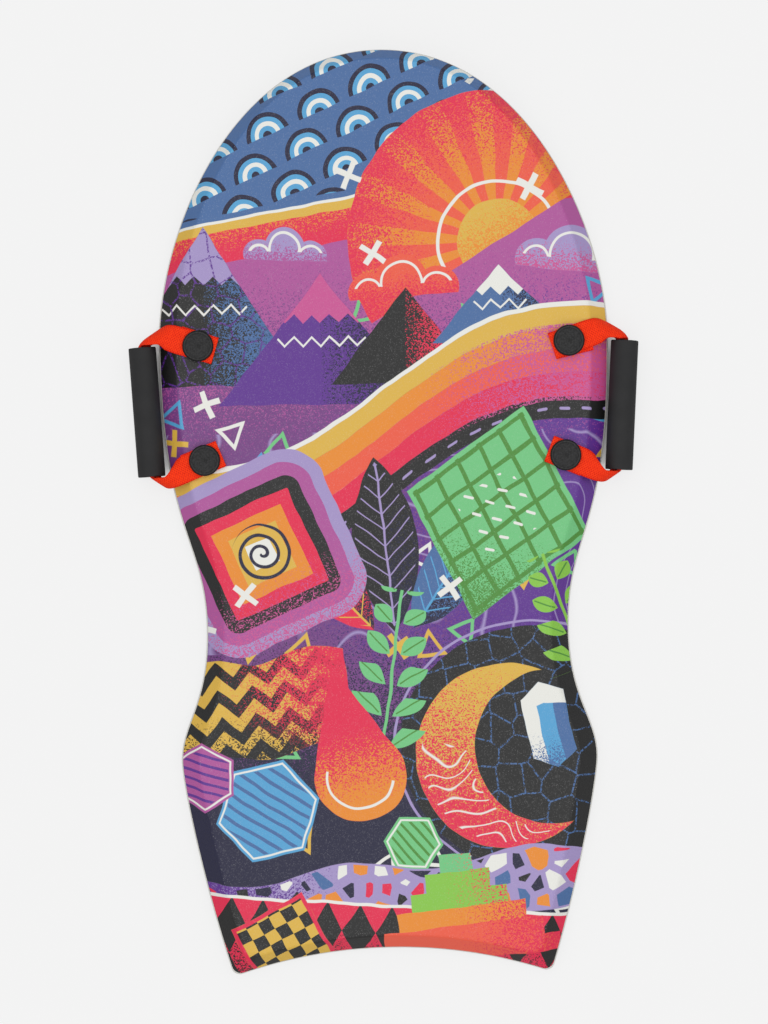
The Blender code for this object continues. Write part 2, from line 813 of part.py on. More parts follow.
def make_handles():
    webbing = material("webbing", WEBBING_ORANGE, 0.8)
    sleeve_finish = material("grip_foam", GRIP_BLACK, 0.6)
    liner_finish = material("liner_plastic", LINER_GREY, 0.5)
    hole = BARREL_DIAMETER + 2 * GAP
    for side, side_name in ((-1, "left"), (1, "right")):
        for leg, cap, end_name in ((FRONT_LEG, FRONT_CAP, "front"), (REAR_LEG, REAR_CAP, "rear")):
            tab = make_tab(side, f"{side_name}_{end_name}_strap_end", leg, cap, webbing)
            cut(tab, drills(tab.name + "_drill", hole))
        hinge = empty(f"{side_name}_hinge", hinge_frame(side))
        spin = empty(f"{side_name}_spin", grip_frame(side))
        attach(make_strap(side, side_name, webbing), hinge)
        attach(spin, hinge)
        for piece in make_grip(side, side_name, sleeve_finish, liner_finish):
            attach(piece, spin)


def clear_scene():
    for old in list(bpy.data.objects):
        bpy.data.objects.remove(old, do_unlink=True)


clear_scene()
make_board()
make_fasteners()
make_handles()
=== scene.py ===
"""Looks of the foam snow sled: printed deck, slick base, webbing handles, floor and light."""

import math
from typing import NamedTuple

import bmesh
import bpy
from mathutils import Matrix, Vector


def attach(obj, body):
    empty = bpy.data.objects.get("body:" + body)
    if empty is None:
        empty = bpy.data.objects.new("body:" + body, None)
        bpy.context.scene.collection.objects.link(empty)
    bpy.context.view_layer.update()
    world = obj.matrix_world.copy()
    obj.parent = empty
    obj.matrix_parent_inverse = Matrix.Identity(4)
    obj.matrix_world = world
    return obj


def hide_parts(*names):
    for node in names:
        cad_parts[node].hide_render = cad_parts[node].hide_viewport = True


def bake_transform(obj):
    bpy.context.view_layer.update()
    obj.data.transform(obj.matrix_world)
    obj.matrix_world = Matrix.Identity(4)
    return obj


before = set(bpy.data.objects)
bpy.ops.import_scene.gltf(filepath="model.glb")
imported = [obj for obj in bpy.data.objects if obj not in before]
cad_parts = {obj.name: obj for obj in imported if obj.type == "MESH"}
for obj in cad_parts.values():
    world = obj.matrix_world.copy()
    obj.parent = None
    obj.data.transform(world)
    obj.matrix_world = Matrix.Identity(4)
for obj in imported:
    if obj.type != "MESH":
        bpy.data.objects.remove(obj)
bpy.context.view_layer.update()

# Board outline, seen from above, as in the CAD
LENGTH = 0.920
SHOULDER_WIDTH = 0.449
WAIST_WIDTH = 0.362
HIP_WIDTH = 0.416
TAIL_WIDTH = 0.3192
SHOULDER_Y = 0.173
WAIST_Y = -0.117
HIP_Y = -0.246
TAIL_TAPER = math.radians(17.7)
TAIL_HOLLOW_RADIUS = 0.485
TAIL_CORNER_RADIUS = 0.0085
NOSE_FULLNESS = 0.150
SHOULDER_FULLNESS = (0.104, 0.196)
WAIST_FULLNESS = (0.095, 0.073)
HIP_FULLNESS = (0.038, 0.022)
TAIL_FULLNESS = 0.095

# Board section
THICKNESS = 0.030
DECK_SKIN = 0.0020
BASE_SKIN = 0.0012
CREASE_INSET = 0.019
NOSE_CREASE_INSET = 0.011
TAIL_CREASE_INSET = 0.0145
CREASE_WIDENS = (0.1, 1.0)
CREASE_RADIUS = 0.008
CREASE_CORNER_RADIUS = 0.015
EDGE_HEIGHT = 0.0107
EDGE_RADIUS = 0.003
RAIL_FOOT_INSET = 0.003
RAIL_RADIUS = 0.009
SEAM_INSET = 0.0013
ROCKER_START_Y = 0.200
NOSE_LIFT = 0.022
FLAT_MARGIN = 0.003
GAP = 0.0003

# Caps and screws
FRONT_CAP_Y = 0.1679
FRONT_CAP_INSET = 0.0400
REAR_CAP_Y = 0.0540
REAR_CAP_INSET = 0.0375
CAP_RADIUS = 0.0155
CAP_HEIGHT = 0.0035
CAP_RIM_RADIUS = 0.0020
CAP_GROOVE_INSET = 0.0006
CAP_GROOVE_HALF = 0.0003
CAP_GROOVE_DEPTH = 0.0002
CAP_DIMPLE_RADIUS = 0.0042
CAP_DIMPLE_DEPTH = 0.0006
CAP_FOOT_CHAMFER = 0.0004
BARREL_RADIUS = 0.0045
SCREW_HEAD_RADIUS = 0.0170
SCREW_HEAD_HEIGHT = 0.0020
SCREW_SHANK_RADIUS = 0.0026
SCREW_LENGTH = 0.0200
SCREW_CHAMFER = 0.0005
SLOT_LENGTH = 0.0180
SLOT_WIDTH = 0.0024
SLOT_DEPTH = 0.0011
RECESS_CLEARANCE = 0.0025
RECESS_DRAFT = 0.0015

# Webbing and grips
WEBBING_WIDTH = 0.026
WEBBING_THICKNESS = 0.0015
FOLD_REACH = 0.0177
TAIL_END_REACH = 0.0205
HINGE_MARGIN = 0.0045
FIRST_BEND = 0.033
SECOND_BEND = 0.013
GIVE_BACK = (0.044, 0.058)
BULGE_SPREAD = 0.014
CURL_START = 0.016
CURL_END = 0.006
MERGE_START = 0.010
MERGE_END = 0.001
MOUTH_DEPTH = 0.008
GRIP_REACH = 0.030
LEG_LIMIT = 0.130
RIM_CLEARANCE = 0.0020
RIM_NEAR = (0.0074, 0.0092)
RIM_FAR = (0.0200, 0.0280)
GRIP_LENGTH = 0.1293
GRIP_RADIUS = 0.0137
GRIP_WALL = 0.0036
GRIP_END_ROUND = 0.0012
GRIP_MIDDLE_Y = 0.1033
GRIP_TILT = math.radians(3.46)
GRIP_EDGE_GAP = 0.0012
LINER_WALL = 0.0022
LINER_RECESS = 0.009
LINER_END_ROUND = 0.0004

# Values that follow from these
UP = Vector((0, 0, 1))
SIDES = (("left", -1), ("right", 1))
RECESS_DEPTH = SCREW_HEAD_HEIGHT + 2 * GAP
BARREL_END_Z = RECESS_DEPTH + BASE_SKIN + GAP
LAYER_STEP = WEBBING_THICKNESS + GAP
LAYER_MIDDLE_Z = THICKNESS + GAP + LAYER_STEP + WEBBING_THICKNESS / 2
CAP_Z = THICKNESS + GAP + 2 * LAYER_STEP
FOLD_CENTRE = WEBBING_THICKNESS + GAP / 2 - FOLD_REACH
LINER_OUTER = GRIP_RADIUS - GRIP_WALL - GAP
LINER_INNER = LINER_OUTER - LINER_WALL
CURL_RADIUS = LINER_INNER - GAP - WEBBING_THICKNESS / 2

# How finely the shapes are made
NOSE_STEPS = 90
FRONT_WAIST_STEPS = 48
REAR_WAIST_STEPS = 26
TAIL_SIDE_STEPS = 40
CORNER_STEPS = 10
HOLLOW_STEPS = 34
SECTION_STEPS = 8
ROUND_SEGMENTS = 96
LEG_STEPS = 70
MIDDLE_STEP = 0.0001
GRIP_RUN_STEPS = 24
WEB_ACROSS_STEPS = 14
SELVEDGE_STEPS = 5
FOLD_STEPS = 12
TAB_STEPS = 6
GRIP_FIT_STEPS = 24
DIMPLE_STEPS = 8
HALVINGS = 48
SHARP_ANGLE = math.radians(50)
TURNED_SHARP_ANGLE = math.radians(40)
SELVEDGE = [
    (math.cos(math.pi * k / SELVEDGE_STEPS), math.sin(math.pi * k / SELVEDGE_STEPS))
    for k in range(1, SELVEDGE_STEPS)
]


# General helpers
def smoothstep(value, start, end):
    share = min(max((value - start) / (end - start), 0.0), 1.0)
    return share * share * (3 - 2 * share)


def bezier(points, t):
    a, b, c, d = points
    s = 1 - t
    place = a * s**3 + b * (3 * s * s * t) + c * (3 * s * t * t) + d * t**3
    heading = (b - a) * (3 * s * s) + (c - b) * (6 * s * t) + (d - c) * (3 * t * t)
    return place, heading.normalized()


def bisect(function, low, high):
    """The value between low and high where a falling function passes zero."""
    for _ in range(HALVINGS):
        middle = (low + high) / 2
        if function(middle) > 0:
            low = middle
        else:
            high = middle
    return (low + high) / 2


def mirrored(point, side):
    """A point of the right-hand side for a side of 1, and its mirror image for -1."""
    return Vector((side * point.x, point.y, point.z))


def add_object(name, data):
    made = bpy.data.objects.new(name, data)
    bpy.context.scene.collection.objects.link(made)
    return made


def to_object(name, shape, finish, sharp_from=TURNED_SHARP_ANGLE):
    bmesh.ops.recalc_face_normals(shape, faces=shape.faces[:])
    mesh = bpy.data.meshes.new(name)
    shape.to_mesh(mesh)
    shape.free()
    mesh.shade_smooth()
    mesh.set_sharp_from_angle(angle=sharp_from)
    mesh.materials.append(finish)
    return add_object(name, mesh)


def stand_for(piece, body, slot, *nodes):
    """Rides a piece on a body, in place of some CAD nodes."""
    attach(piece, body)
    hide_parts(*nodes)


def join_loops(shape, loops, first_cap=None, last_cap=None):
    """Skins a list of closed loops of equal length, with a function that fills each end."""
    rows = [[shape.verts.new(point) for point in loop] for loop in loops]
    count = len(rows[0])
    for near, far in zip(rows, rows[1:]):
        for i in range(count):
            j = (i + 1) % count
            shape.faces.new((near[i], near[j], far[j], far[i]))
    for row, cap in ((rows[0], first_cap), (rows[-1], last_cap)):
        if cap:
            cap(shape, row)
    return rows


def plain_cap(shape, row):
    shape.faces.new(row)


def turned(profile, segments=ROUND_SEGMENTS):
    """Turns a profile of (radius, height) points about Z. Points with no radius close it."""
    shape = bmesh.new()
    rows = []
    for radius, height in profile:
        if radius == 0:
            rows.append([shape.verts.new((0, 0, height))] * segments)
            continue
        turns = [2 * math.pi * k / segments for k in range(segments)]
        rows.append(
            [shape.verts.new((radius * math.cos(a), radius * math.sin(a), height)) for a in turns]
        )
    pairs = list(zip(rows, rows[1:]))
    if profile[0][0] and profile[-1][0]:
        pairs.append((rows[-1], rows[0]))
    for near, far in pairs:
        for i in range(segments):
            j = (i + 1) % segments
            shape.faces.new(list(dict.fromkeys([near[i], near[j], far[j], far[i]])))
    return shape


def round_corner(centre, radius, start, end, steps=8):
    """Points of an arc in a profile, round a centre, from one angle to another in degrees."""
    turns = [math.radians(start + (end - start) * k / steps) for k in range(steps + 1)]
    return [(centre[0] + radius * math.cos(a), centre[1] + radius * math.sin(a)) for a in turns]


# Colours like the photograph's, as sRGB
FILM_VEIL = 0.040
DARKEST_INK = 0.005


def colour(red, green, blue):
    """A scene-linear colour from sRGB values of 0 to 255."""

    def linear(value):
        value /= 255
        return value / 12.92 if value <= 0.04045 else ((value + 0.055) / 1.055) ** 2.4

    return (linear(red), linear(green), linear(blue), 1.0)


def ink(red, green, blue):
    """An ink that shows as an sRGB colour through the deck's film, whose gloss adds a veil."""
    shown = colour(red, green, blue)[:3]
    return tuple(max(part - FILM_VEIL, DARKEST_INK) for part in shown) + (1.0,)


PURPLE = ink(126, 81, 138)
VIOLET = ink(106, 70, 150)
NAVY = ink(60, 52, 78)
BLACK = ink(58, 54, 52)
CRIMSON = ink(230, 64, 92)
CORAL = ink(240, 104, 84)
ORANGE = ink(236, 148, 68)
OCHRE = ink(224, 184, 88)
MINT = ink(124, 202, 138)
LEAF = ink(92, 148, 76)
LIME = ink(144, 202, 88)
SKY = ink(98, 168, 214)
SLATE = ink(88, 118, 166)
PINK = ink(206, 98, 154)
ORCHID = ink(180, 98, 160)
LILAC = ink(170, 154, 202)
CHALK = ink(236, 236, 230)


# Node helpers
class Num:
    """A number that varies over a surface: a math node's output, with arithmetic."""

    def __init__(self, tree, socket):
        self.tree = tree
        self.socket = socket

    def do(self, operation, *others, clamp=False):
        node = add_node(self.tree, "Math")
        node.operation = operation
        node.use_clamp = clamp
        for slot, value in zip(node.inputs, (self, *others)):
            feed(self.tree, slot, value)
        return Num(self.tree, node.outputs[0])

    def __add__(self, other):
        return self.do("ADD", other)

    def __sub__(self, other):
        return self.do("SUBTRACT", other)

    def __mul__(self, other):
        return self.do("MULTIPLY", other)

    def __truediv__(self, other):
        return self.do("DIVIDE", other)

    def __neg__(self):
        return self.do("MULTIPLY", -1.0)

    def __abs__(self):
        return self.do("ABSOLUTE")

    def sine(self):
        return self.do("SINE")

    def cosine(self):
        return self.do("COSINE")

    def floor(self):
        return self.do("FLOOR")

    def part(self):
        """What is left above the whole number below."""
        return self.do("FRACT")

    def bounce(self, top):
        """A triangle wave from 0 to top and back."""
        return self.do("PINGPONG", top)

    def spread(self, low, high):
        """0 up to low, 1 from high on, and even in between."""
        return self.do("MULTIPLY_ADD", 1 / (high - low), -low / (high - low), clamp=True)

    def near(self, middle, reach):
        """1 at a middle value, falling to 0 a reach away on both sides."""
        return (abs(self - middle) * (-1 / reach) + 1.0).do("MAXIMUM", 0.0)


def least(a, b):
    return a.do("MINIMUM", b)


def most(a, b):
    return a.do("MAXIMUM", b)


def hypot(a, b):
    return (a * a + b * b).do("SQRT")


def feed(tree, slot, value):
    """Links a number or a socket to a node's input, or sets a plain value there."""
    if isinstance(value, Num):
        value = value.socket
    if isinstance(value, bpy.types.NodeSocket):
        tree.links.new(value, slot)
    else:
        slot.default_value = value


def add_node(tree, kind, **inputs):
    """A new node, with numbers, sockets or plain values for some of its inputs."""
    made = tree.nodes.new("ShaderNode" + kind)
    for name, value in inputs.items():
        feed(tree, made.inputs[name], value)
    return made


def parts(tree, socket):
    """The three parts of a vector or a colour, as numbers."""
    return [Num(tree, part) for part in add_node(tree, "SeparateXYZ", Vector=socket).outputs]


def own_place(tree, output="Object"):
    """The piece's own coordinates, in metres, or its normals, or the way a ray looks."""
    return add_node(tree, "TexCoord").outputs[output]


def texture(tree, kind, scale, place=None, **inputs):
    """A noise or cell texture, on the piece's own coordinates if no place is given."""
    if place is None:
        place = own_place(tree)
    return add_node(tree, "Tex" + kind, Scale=scale, Vector=place, **inputs)


def noise(tree, scale, **inputs):
    return Num(tree, texture(tree, "Noise", scale, **inputs).outputs[0])


def mix(tree, under, over, share):
    node = add_node(tree, "Mix")
    node.data_type = "RGBA"
    for slot, value in ((0, share), (6, under), (7, over)):
        feed(tree, node.inputs[slot], value)
    return node.outputs[2]


MILLIMETRES = 1000
GRAIN_PITCH = 1.1
GRAIN_CHANCE = 0.8
GRAIN_ROUNDNESS = 0.4
GRAIN_CONTRAST = 4.0
INK_EDGE = 0.28
WOBBLE = 5.0
WOBBLE_SCALE = 0.03


class Painting:
    """A picture painted shape over shape in a node tree, in millimetres on the board."""

    def __init__(self, tree, ground):
        self.tree = tree
        self.colour = ground
        self.place = self.wobbly(self.vector("MULTIPLY", own_place(tree), (MILLIMETRES,) * 3))
        self.grain = self.stipple()

    def vector(self, operation, *values):
        node = add_node(self.tree, "VectorMath")
        node.operation = operation
        for slot, value in zip(node.inputs, values):
            feed(self.tree, slot, value)
        return node.outputs[0]

    def stipple(self):
        """Round grains of a fine spray, each with its own chance number from 0 to 1."""
        grains = texture(self.tree, "Voronoi", MILLIMETRES / GRAIN_PITCH)
        grains.voronoi_dimensions = "2D"
        chance = parts(self.tree, grains.outputs["Color"])[0]
        distance = Num(self.tree, grains.outputs["Distance"])
        return chance * GRAIN_CHANCE + distance * GRAIN_ROUNDNESS

    def wobbly(self, place):
        """The place, pushed about a little, so that drawn edges look hand cut."""
        swell = texture(self.tree, "Noise", WOBBLE_SCALE, place, Detail=1.0)
        push = self.vector("SUBTRACT", swell.outputs["Color"], (0.5, 0.5, 0.5))
        return self.vector("ADD", place, self.vector("MULTIPLY", push, (WOBBLE,) * 3))

    def local(self, x, y, turn=0.0):
        """Coordinates round a point of the board, turned by some degrees."""
        turned_by = (0, 0, math.radians(turn))
        mapping = add_node(
            self.tree, "Mapping", Vector=self.place, Location=(x, y, 0), Rotation=turned_by
        )
        mapping.vector_type = "TEXTURE"
        return parts(self.tree, mapping.outputs[0])[:2]

    def inside(self, distance):
        """1 where a signed distance is below zero, with an edge a fraction of a millimetre soft."""
        return distance.do("MULTIPLY_ADD", -0.5 / INK_EDGE, 0.5, clamp=True)

    def paint(self, distance, ink):
        """Paints an ink where a signed distance is below zero."""
        self.colour = mix(self.tree, self.colour, ink, self.inside(distance))

    def spray(self, distance, ink, share):
        """Sprays an ink inside a shape, with more grains as the share goes from 0 to 1."""
        grains = (self.grain - share).do("MULTIPLY_ADD", -GRAIN_CONTRAST, 0.5, clamp=True)
        self.colour = mix(self.tree, self.colour, ink, grains * self.inside(distance))

    def stepped(self, value, low, high, inks):
        """One flat ink after another as a value runs from low to high."""
        node = add_node(self.tree, "ValToRGB", Fac=value.spread(low, high))
        ramp = node.color_ramp
        ramp.interpolation = "CONSTANT"
        for k in range(1, len(inks) - 1):
            ramp.elements.new(k / len(inks))
        ramp.elements[-1].position = 1 - 1 / len(inks)
        for element, ink in zip(ramp.elements, inks):
            element.color = ink
        return node.outputs[0]


# Motifs of the deck's pattern. Their x and y are millimetres round their own middle or foot
def stripes(value, pitch, width):
    """A signed distance to the stripes that repeat at a pitch as a value grows."""
    return abs((value / pitch).part() - 0.5) * pitch - width / 2


def ribbons(art, x, y, slope, swing, wave, low, widths_and_inks):
    """Bands that run side by side in a long S."""
    across = y - x * slope - (x * (1 / wave)).sine() * swing
    edge = low
    for width, band_ink in widths_and_inks:
        art.paint(abs(across - (edge + width / 2)) - width / 2, band_ink)
        edge += width
    return across


def fan(art, x, y, radius, wedges, inks, glow):
    """Half a wheel of wedges, with a glow sprayed in from its rim."""
    reach = hypot(x, y)
    shape = most(reach - radius, -y)
    art.paint(shape, inks[0])
    angle = y.do("ARCTAN2", x)
    blades = (angle * (wedges / math.pi)).part() - 0.5
    art.paint(most(shape, blades * 20), inks[1])
    art.spray(shape, glow, (reach - radius * 0.35) / (radius * 0.75))
    art.paint(most(abs(reach - radius * 0.40) - 1.6, -y), CHALK)
    hub = most(reach - radius * 0.28, -y)
    art.paint(hub, inks[2])
    art.spray(hub, inks[1], (y * (-1 / radius) + 0.3) * 2.4)


def scallops(art, area, x, y, pitch, inks):
    """Rows of half rounds, each set half a step from the last."""
    row = (y / (pitch * 0.56)).floor()
    shift = (row * 0.5).part() * pitch
    across = ((x + shift) / pitch).part() * pitch - pitch / 2
    up = y - row * (pitch * 0.56)
    reach = hypot(across, up)
    rings = art.stepped(reach, 0, pitch * 0.48, inks)
    art.paint(most(area, reach - pitch * 0.47), rings)


def peak(art, x, y, height, spread, body, shade, snow):
    """A triangle with one shaded side, snow on its top and a zigzag drawn under it."""
    tilt = height / spread
    shape = most((abs(x) * tilt + y - height) * (1 / math.hypot(1, tilt)), -y)
    art.paint(shape, body)
    art.spray(most(shape, -x), shade, (x + spread * 0.25) / spread)
    if snow:
        tooth = x.bounce(9.0) - 4.5
        art.paint(most(shape, -(y - height * 0.66 - tooth)), snow)
        art.paint(most(shape + 5, abs(y - height * 0.48 - tooth) - 1.3), CHALK)


def cloud(art, x, y, size, body, shade):
    """A flat-footed cloud of three rounds, with a line drawn inside its top."""
    left = hypot(x + size * 0.58, y - size * 0.12) - size * 0.34
    middle = hypot(x, y - size * 0.26) - size * 0.47
    right = hypot(x - size * 0.60, y - size * 0.10) - size * 0.38
    rounds = least(least(left, middle), right)
    shape = most(rounds, -y)
    art.paint(shape, body)
    art.spray(shape, shade, y * (-1.5 / size) + 0.8)
    art.paint(most(abs(rounds + size * 0.12) - 1.3, -(y - size * 0.2)), CHALK)


def lozenge(art, x, y, half, stretch, body, mesh_ink, pitch):
    """A diamond crossed by a lattice of its own slopes."""
    tall = y * (1 / stretch)
    shape = (abs(x) + abs(tall) - half) * 0.7
    art.paint(shape, body)
    lattice = least(stripes(x + tall, pitch, pitch * 0.17), stripes(x - tall, pitch, pitch * 0.17))
    art.paint(most(shape + 3.5, lattice), mesh_ink)
    return shape


def nested_squares(art, x, y, half, inks):
    """Rounded squares inside one another."""
    corner = half * 0.45
    straight = half - corner
    across, up = most(abs(x) - straight, 0.0), most(abs(y) - straight, 0.0)
    shape = hypot(across, up) + least(most(abs(x), abs(y)) - straight, 0.0) - corner
    art.paint(shape, art.stepped(shape, -half, 0, inks))
    return shape


def branch(art, x, y, length, pitch, leaf_length, body, vein):
    """A stem with pairs of pointed leaves that get shorter towards its tip."""
    run = most(-y, y - length)
    slot = (y / pitch).part() * pitch
    size = (y * (-0.62 / length) + 1.0) * leaf_length
    lean = math.radians(38)
    side = abs(x)
    along = side * math.cos(lean) + slot * math.sin(lean) - pitch * 0.35
    off = abs(slot * math.cos(lean) - side * math.sin(lean) - pitch * 0.16)
    half = size * 0.5
    bulge = (along - half) / half
    leaf = off - (bulge * bulge * -1.0 + 1.0) * (pitch * 0.29)
    art.paint(most(run, least(leaf, side - 1.6)), body)
    art.paint(most(run, most(off - 0.7, abs(along - half) - half * 0.8)), vein)


def blade(art, x, y, length, width, body, shade, vein):
    """A long leaf of two arcs, shaded on one side, with slanting veins."""
    radius = (length**2 + width**2) / (4 * width)
    shape = hypot(abs(x) + (radius - width / 2), y - length / 2) - radius
    art.paint(shape, body)
    art.spray(most(shape, -x), shade, y * (-1.1 / length) + 1.0)
    pitch = width * 0.24
    slant = stripes(y - abs(x) * 0.9, pitch, 1.6)
    art.paint(most(shape + 3.5, least(abs(x) - 1.1, slant)), vein)


def drop(art, x, y, radius, height, body, glow):
    """A tear drop with a thin line drawn inside its foot."""
    lean = math.asin(radius / height)
    cone = abs(x) * math.cos(lean) + y * math.sin(lean) - radius
    reach = hypot(x, y)
    shape = least(reach - radius, most(cone, -(y - radius * math.sin(lean))))
    art.paint(shape, body)
    art.spray(shape, glow, (y * (-1 / height) + 0.45) * 1.5)
    art.paint(most(abs(reach - radius * 0.72) - 1.3, y + x * 0.4), CHALK)


def gem(art, x, y, half, height, inks):
    """A cut crystal: a middle, a light and a dark face, and a drawn girdle."""
    tilt = 0.62
    shape = most(abs(x) - half, (abs(x) * tilt + abs(y) - height) * 0.85)
    art.paint(shape, inks[0])
    art.paint(most(shape, x + half * 0.34), inks[1])
    art.paint(most(shape, -(x - half * 0.40)), inks[2])
    girdle = y - height + half * tilt * 1.5 + abs(x) * 0.25
    art.paint(most(shape, -girdle), inks[1])
    art.spray(shape, inks[2], (y * (-1 / height) - 0.1) * 0.9)
    art.paint(most(shape, abs(girdle) - 1.0), CHALK)


def zigzags(art, area, x, y, pitch, height, duty, stripe):
    """Rows of zigzag stripes."""
    art.paint(most(area, stripes(y - x.bounce(height), pitch, pitch * duty)), stripe)


def crescent(art, x, y, radius, body, glow, bite=0.42):
    disc = hypot(x, y) - radius
    moon = most(disc, -(hypot(x - radius * bite, y - radius * bite * 0.6) - radius * 0.84))
    art.paint(moon, body)
    art.spray(moon, glow, y * (-0.5 / radius) + 0.55)
    return moon


def hexagon(art, x, y, radius, body, hatch, pitch):
    side = math.sqrt(3) / 2
    shape = most(abs(x) * side + abs(y) * 0.5, abs(y)) - radius
    art.paint(shape, body)
    art.paint(most(shape + 5, stripes(x + y, pitch, pitch * 0.32)), hatch)
    art.paint(abs(shape + 3.2) - 0.9, CHALK)


def harlequin(art, area, x, y, wide, tall, body):
    """A board of diamonds, every other one inked."""
    first = (x / wide + y / tall).floor()
    second = (x / wide - y / tall).floor()
    odd = ((first + second) * 0.5).part() - 0.25
    art.paint(most(area, odd * 4), body)


def checks(art, area, x, y, size, body):
    """A chequered board."""
    odd = (((x / size).floor() + (y / size).floor()) * 0.5).part() - 0.25
    art.paint(most(area, odd * 4), body)


def steps(art, x, y, width, rise, count, inks):
    """A stepped pyramid."""
    tier = (y / rise).floor()
    reach = abs(x) + tier * (width / count)
    shape = most(most(reach - width, y - rise * count), -y)
    art.paint(shape, art.stepped(tier, 0, count, inks))
    return shape


def spiral(art, x, y, radius, pitch, thickness, line):
    lag = y.do("ARCTAN2", x) * (pitch / (2 * math.pi))
    reach = hypot(x, y)
    art.paint(most(stripes(reach - lag, pitch, thickness), reach - radius), line)


def plus_shape(x, y, arm):
    return most(most(abs(x), abs(y)) - arm, least(abs(x), abs(y)) - arm * 0.2)


def triangle_shape(x, y, size):
    edge = most(abs(x) * 0.866 + y * 0.5, -y) - size
    return abs(edge + 1.7) - 1.7


def pills(art, area, x, y, pitch, line):
    """Short strokes in rows, each row set half a step from the last."""
    row = (y / pitch).floor()
    across = ((x / (pitch * 1.4)) + row * 0.5).part() * (pitch * 1.4) - pitch * 0.7
    up = y - (row + 0.5) * pitch
    stroke = hypot(most(abs(across) - pitch * 0.24, 0.0), up) - pitch * 0.09
    art.paint(most(area, stroke), line)


def contours(art, area, scale, thickness, line):
    """Drawn lines that wander like those of a map."""
    height = noise(art.tree, scale, place=art.place, Detail=0.0)
    lines = abs((height * 9).part() - 0.5) - thickness
    art.paint(most(area, lines * 8), line)


def cells(art, pitch, feature="F1"):
    """A cell texture on the board's millimetres."""
    node = texture(art.tree, "Voronoi", 1 / pitch, art.place)
    node.voronoi_dimensions = "2D"
    node.feature = feature
    return node


def edge_distance(art, pitch):
    """How far a place lies from the edge of its cell, as a share of the pitch."""
    return Num(art.tree, cells(art, pitch, "DISTANCE_TO_EDGE").outputs["Distance"])


def chips(art, area, pitch, inks):
    """Broken chips of several inks, as in terrazzo."""
    gap, pick, _ = parts(art.tree, cells(art, pitch).outputs["Color"])
    shape = (gap * 0.22 + 0.08 - edge_distance(art, pitch)) * pitch
    art.paint(most(area, shape), art.stepped(pick, 0, 1, inks))


def crackle(art, area, pitch, thickness, line):
    """Fine sprayed cracks."""
    art.spray(most(area, edge_distance(art, pitch) * pitch - thickness), line, 0.62)


def confetti(art, area, pitch, shape, size, share, inks):
    """The same small mark scattered in some cells, turned and coloured by chance."""
    node = cells(art, pitch)
    turn, pick, keep = parts(art.tree, node.outputs["Color"])
    away = art.vector("SUBTRACT", art.place, node.outputs["Position"])
    x, y, _ = parts(art.tree, away)
    angle = turn * (2 * math.pi)
    across = x * angle.cosine() + y * angle.sine()
    up = y * angle.cosine() - x * angle.sine()
    mark = most(shape(across, up, size), (keep - share) * 40)
    art.paint(most(area, mark), art.stepped(pick, 0, 1, inks))


# The deck's pattern, part by part
def paint_ground(art):
    """Orchid in front, violet in the middle and near-black behind, crossed by drawn contours."""
    x, y = art.local(0, 0)
    everywhere = y - 1000
    art.spray(everywhere, VIOLET, x * 0.004 + 0.55)
    art.spray(y - 400, ORCHID, (y - 40) / 200)
    art.spray(y + 60, NAVY, (y + 90) / -170)
    contours(art, abs(y + 30) - 110, 0.009, 0.035, LILAC)


def paint_sky(art):
    """Water in rows of half rounds, its shore, a rising fan and clouds."""
    u, v = art.local(-60, 330, 24)
    water = -(u * 0.25 + v) - 20
    art.paint(water - 44, CRIMSON)
    art.spray(water - 44, ORANGE, (-water + 40) / 60)
    art.paint(water - 12, OCHRE)
    art.paint(water - 3, CHALK)
    art.paint(water, SLATE)
    scallops(art, water + 6, u, v, 56, (NAVY, SKY, CHALK, SKY, NAVY, SLATE))
    fan(art, *art.local(116, 268, 32), 150, 9, (CORAL, ORANGE, OCHRE), CRIMSON)
    cloud(art, *art.local(188, 238, -6), 62, LILAC, PINK)
    cloud(art, *art.local(20, 214, 4), 58, CORAL, CRIMSON)
    cloud(art, *art.local(-98, 252, -3), 44, LILAC, ORCHID)


def paint_mountains(art):
    """Peaks behind long ribbons."""
    u, v = art.local(-178, 128)
    peak(art, u, v, 158, 98, BLACK, SLATE, LILAC)
    crackle(art, most((abs(u) * 1.6 + v - 158) * 0.5, -v), 21, 0.9, VIOLET)
    peak(art, *art.local(-62, 108), 130, 102, VIOLET, NAVY, PINK)
    peak(art, *art.local(22, 128), 96, 74, BLACK, CRIMSON, None)
    peak(art, *art.local(118, 170, 2), 74, 70, SLATE, NAVY, CHALK)
    u, v = art.local(0, 60)
    inks = ((22, BLACK), (24, CRIMSON), (23, CORAL), (22, ORANGE), (20, OCHRE), (5, CHALK))
    across = ribbons(art, u, v, 0.34, 30, 74, -50, inks)
    art.spray(abs(across - 6) - 38, PINK, (u - 20) / 220)
    art.spray(abs(across + 10) - 30, CRIMSON, (u + 60) / -160)
    pills(art, abs(across + 39) - 8, u, across, 16, LILAC)


def paint_middle(art):
    """Long leaves, a lattice, and nested squares with a spiral."""
    blade(art, *art.local(8, -120, 6), 176, 66, BLACK, NAVY, LILAC)
    blade(art, *art.local(-14, -118, 42), 118, 50, CRIMSON, NAVY, OCHRE)
    blade(art, *art.local(26, -116, -34), 142, 56, SLATE, NAVY, SKY)
    u, v = art.local(112, -2, -14)
    shape = lozenge(art, u, v, 94, 1.16, MINT, LEAF, 34)
    art.spray(shape, LEAF, v * -0.009 - 0.1)
    pills(art, abs(u) + abs(v) - 46, u, v, 15, CHALK)
    u, v = art.local(-124, -40, 24)
    inks = (CHALK, OCHRE, ORANGE, CRIMSON, BLACK, ORCHID, LILAC)
    shape = nested_squares(art, u, v, 88, inks)
    art.spray(shape, PINK, v * -0.008 - 0.1)
    spiral(art, u, v, 30, 11, 3.4, NAVY)


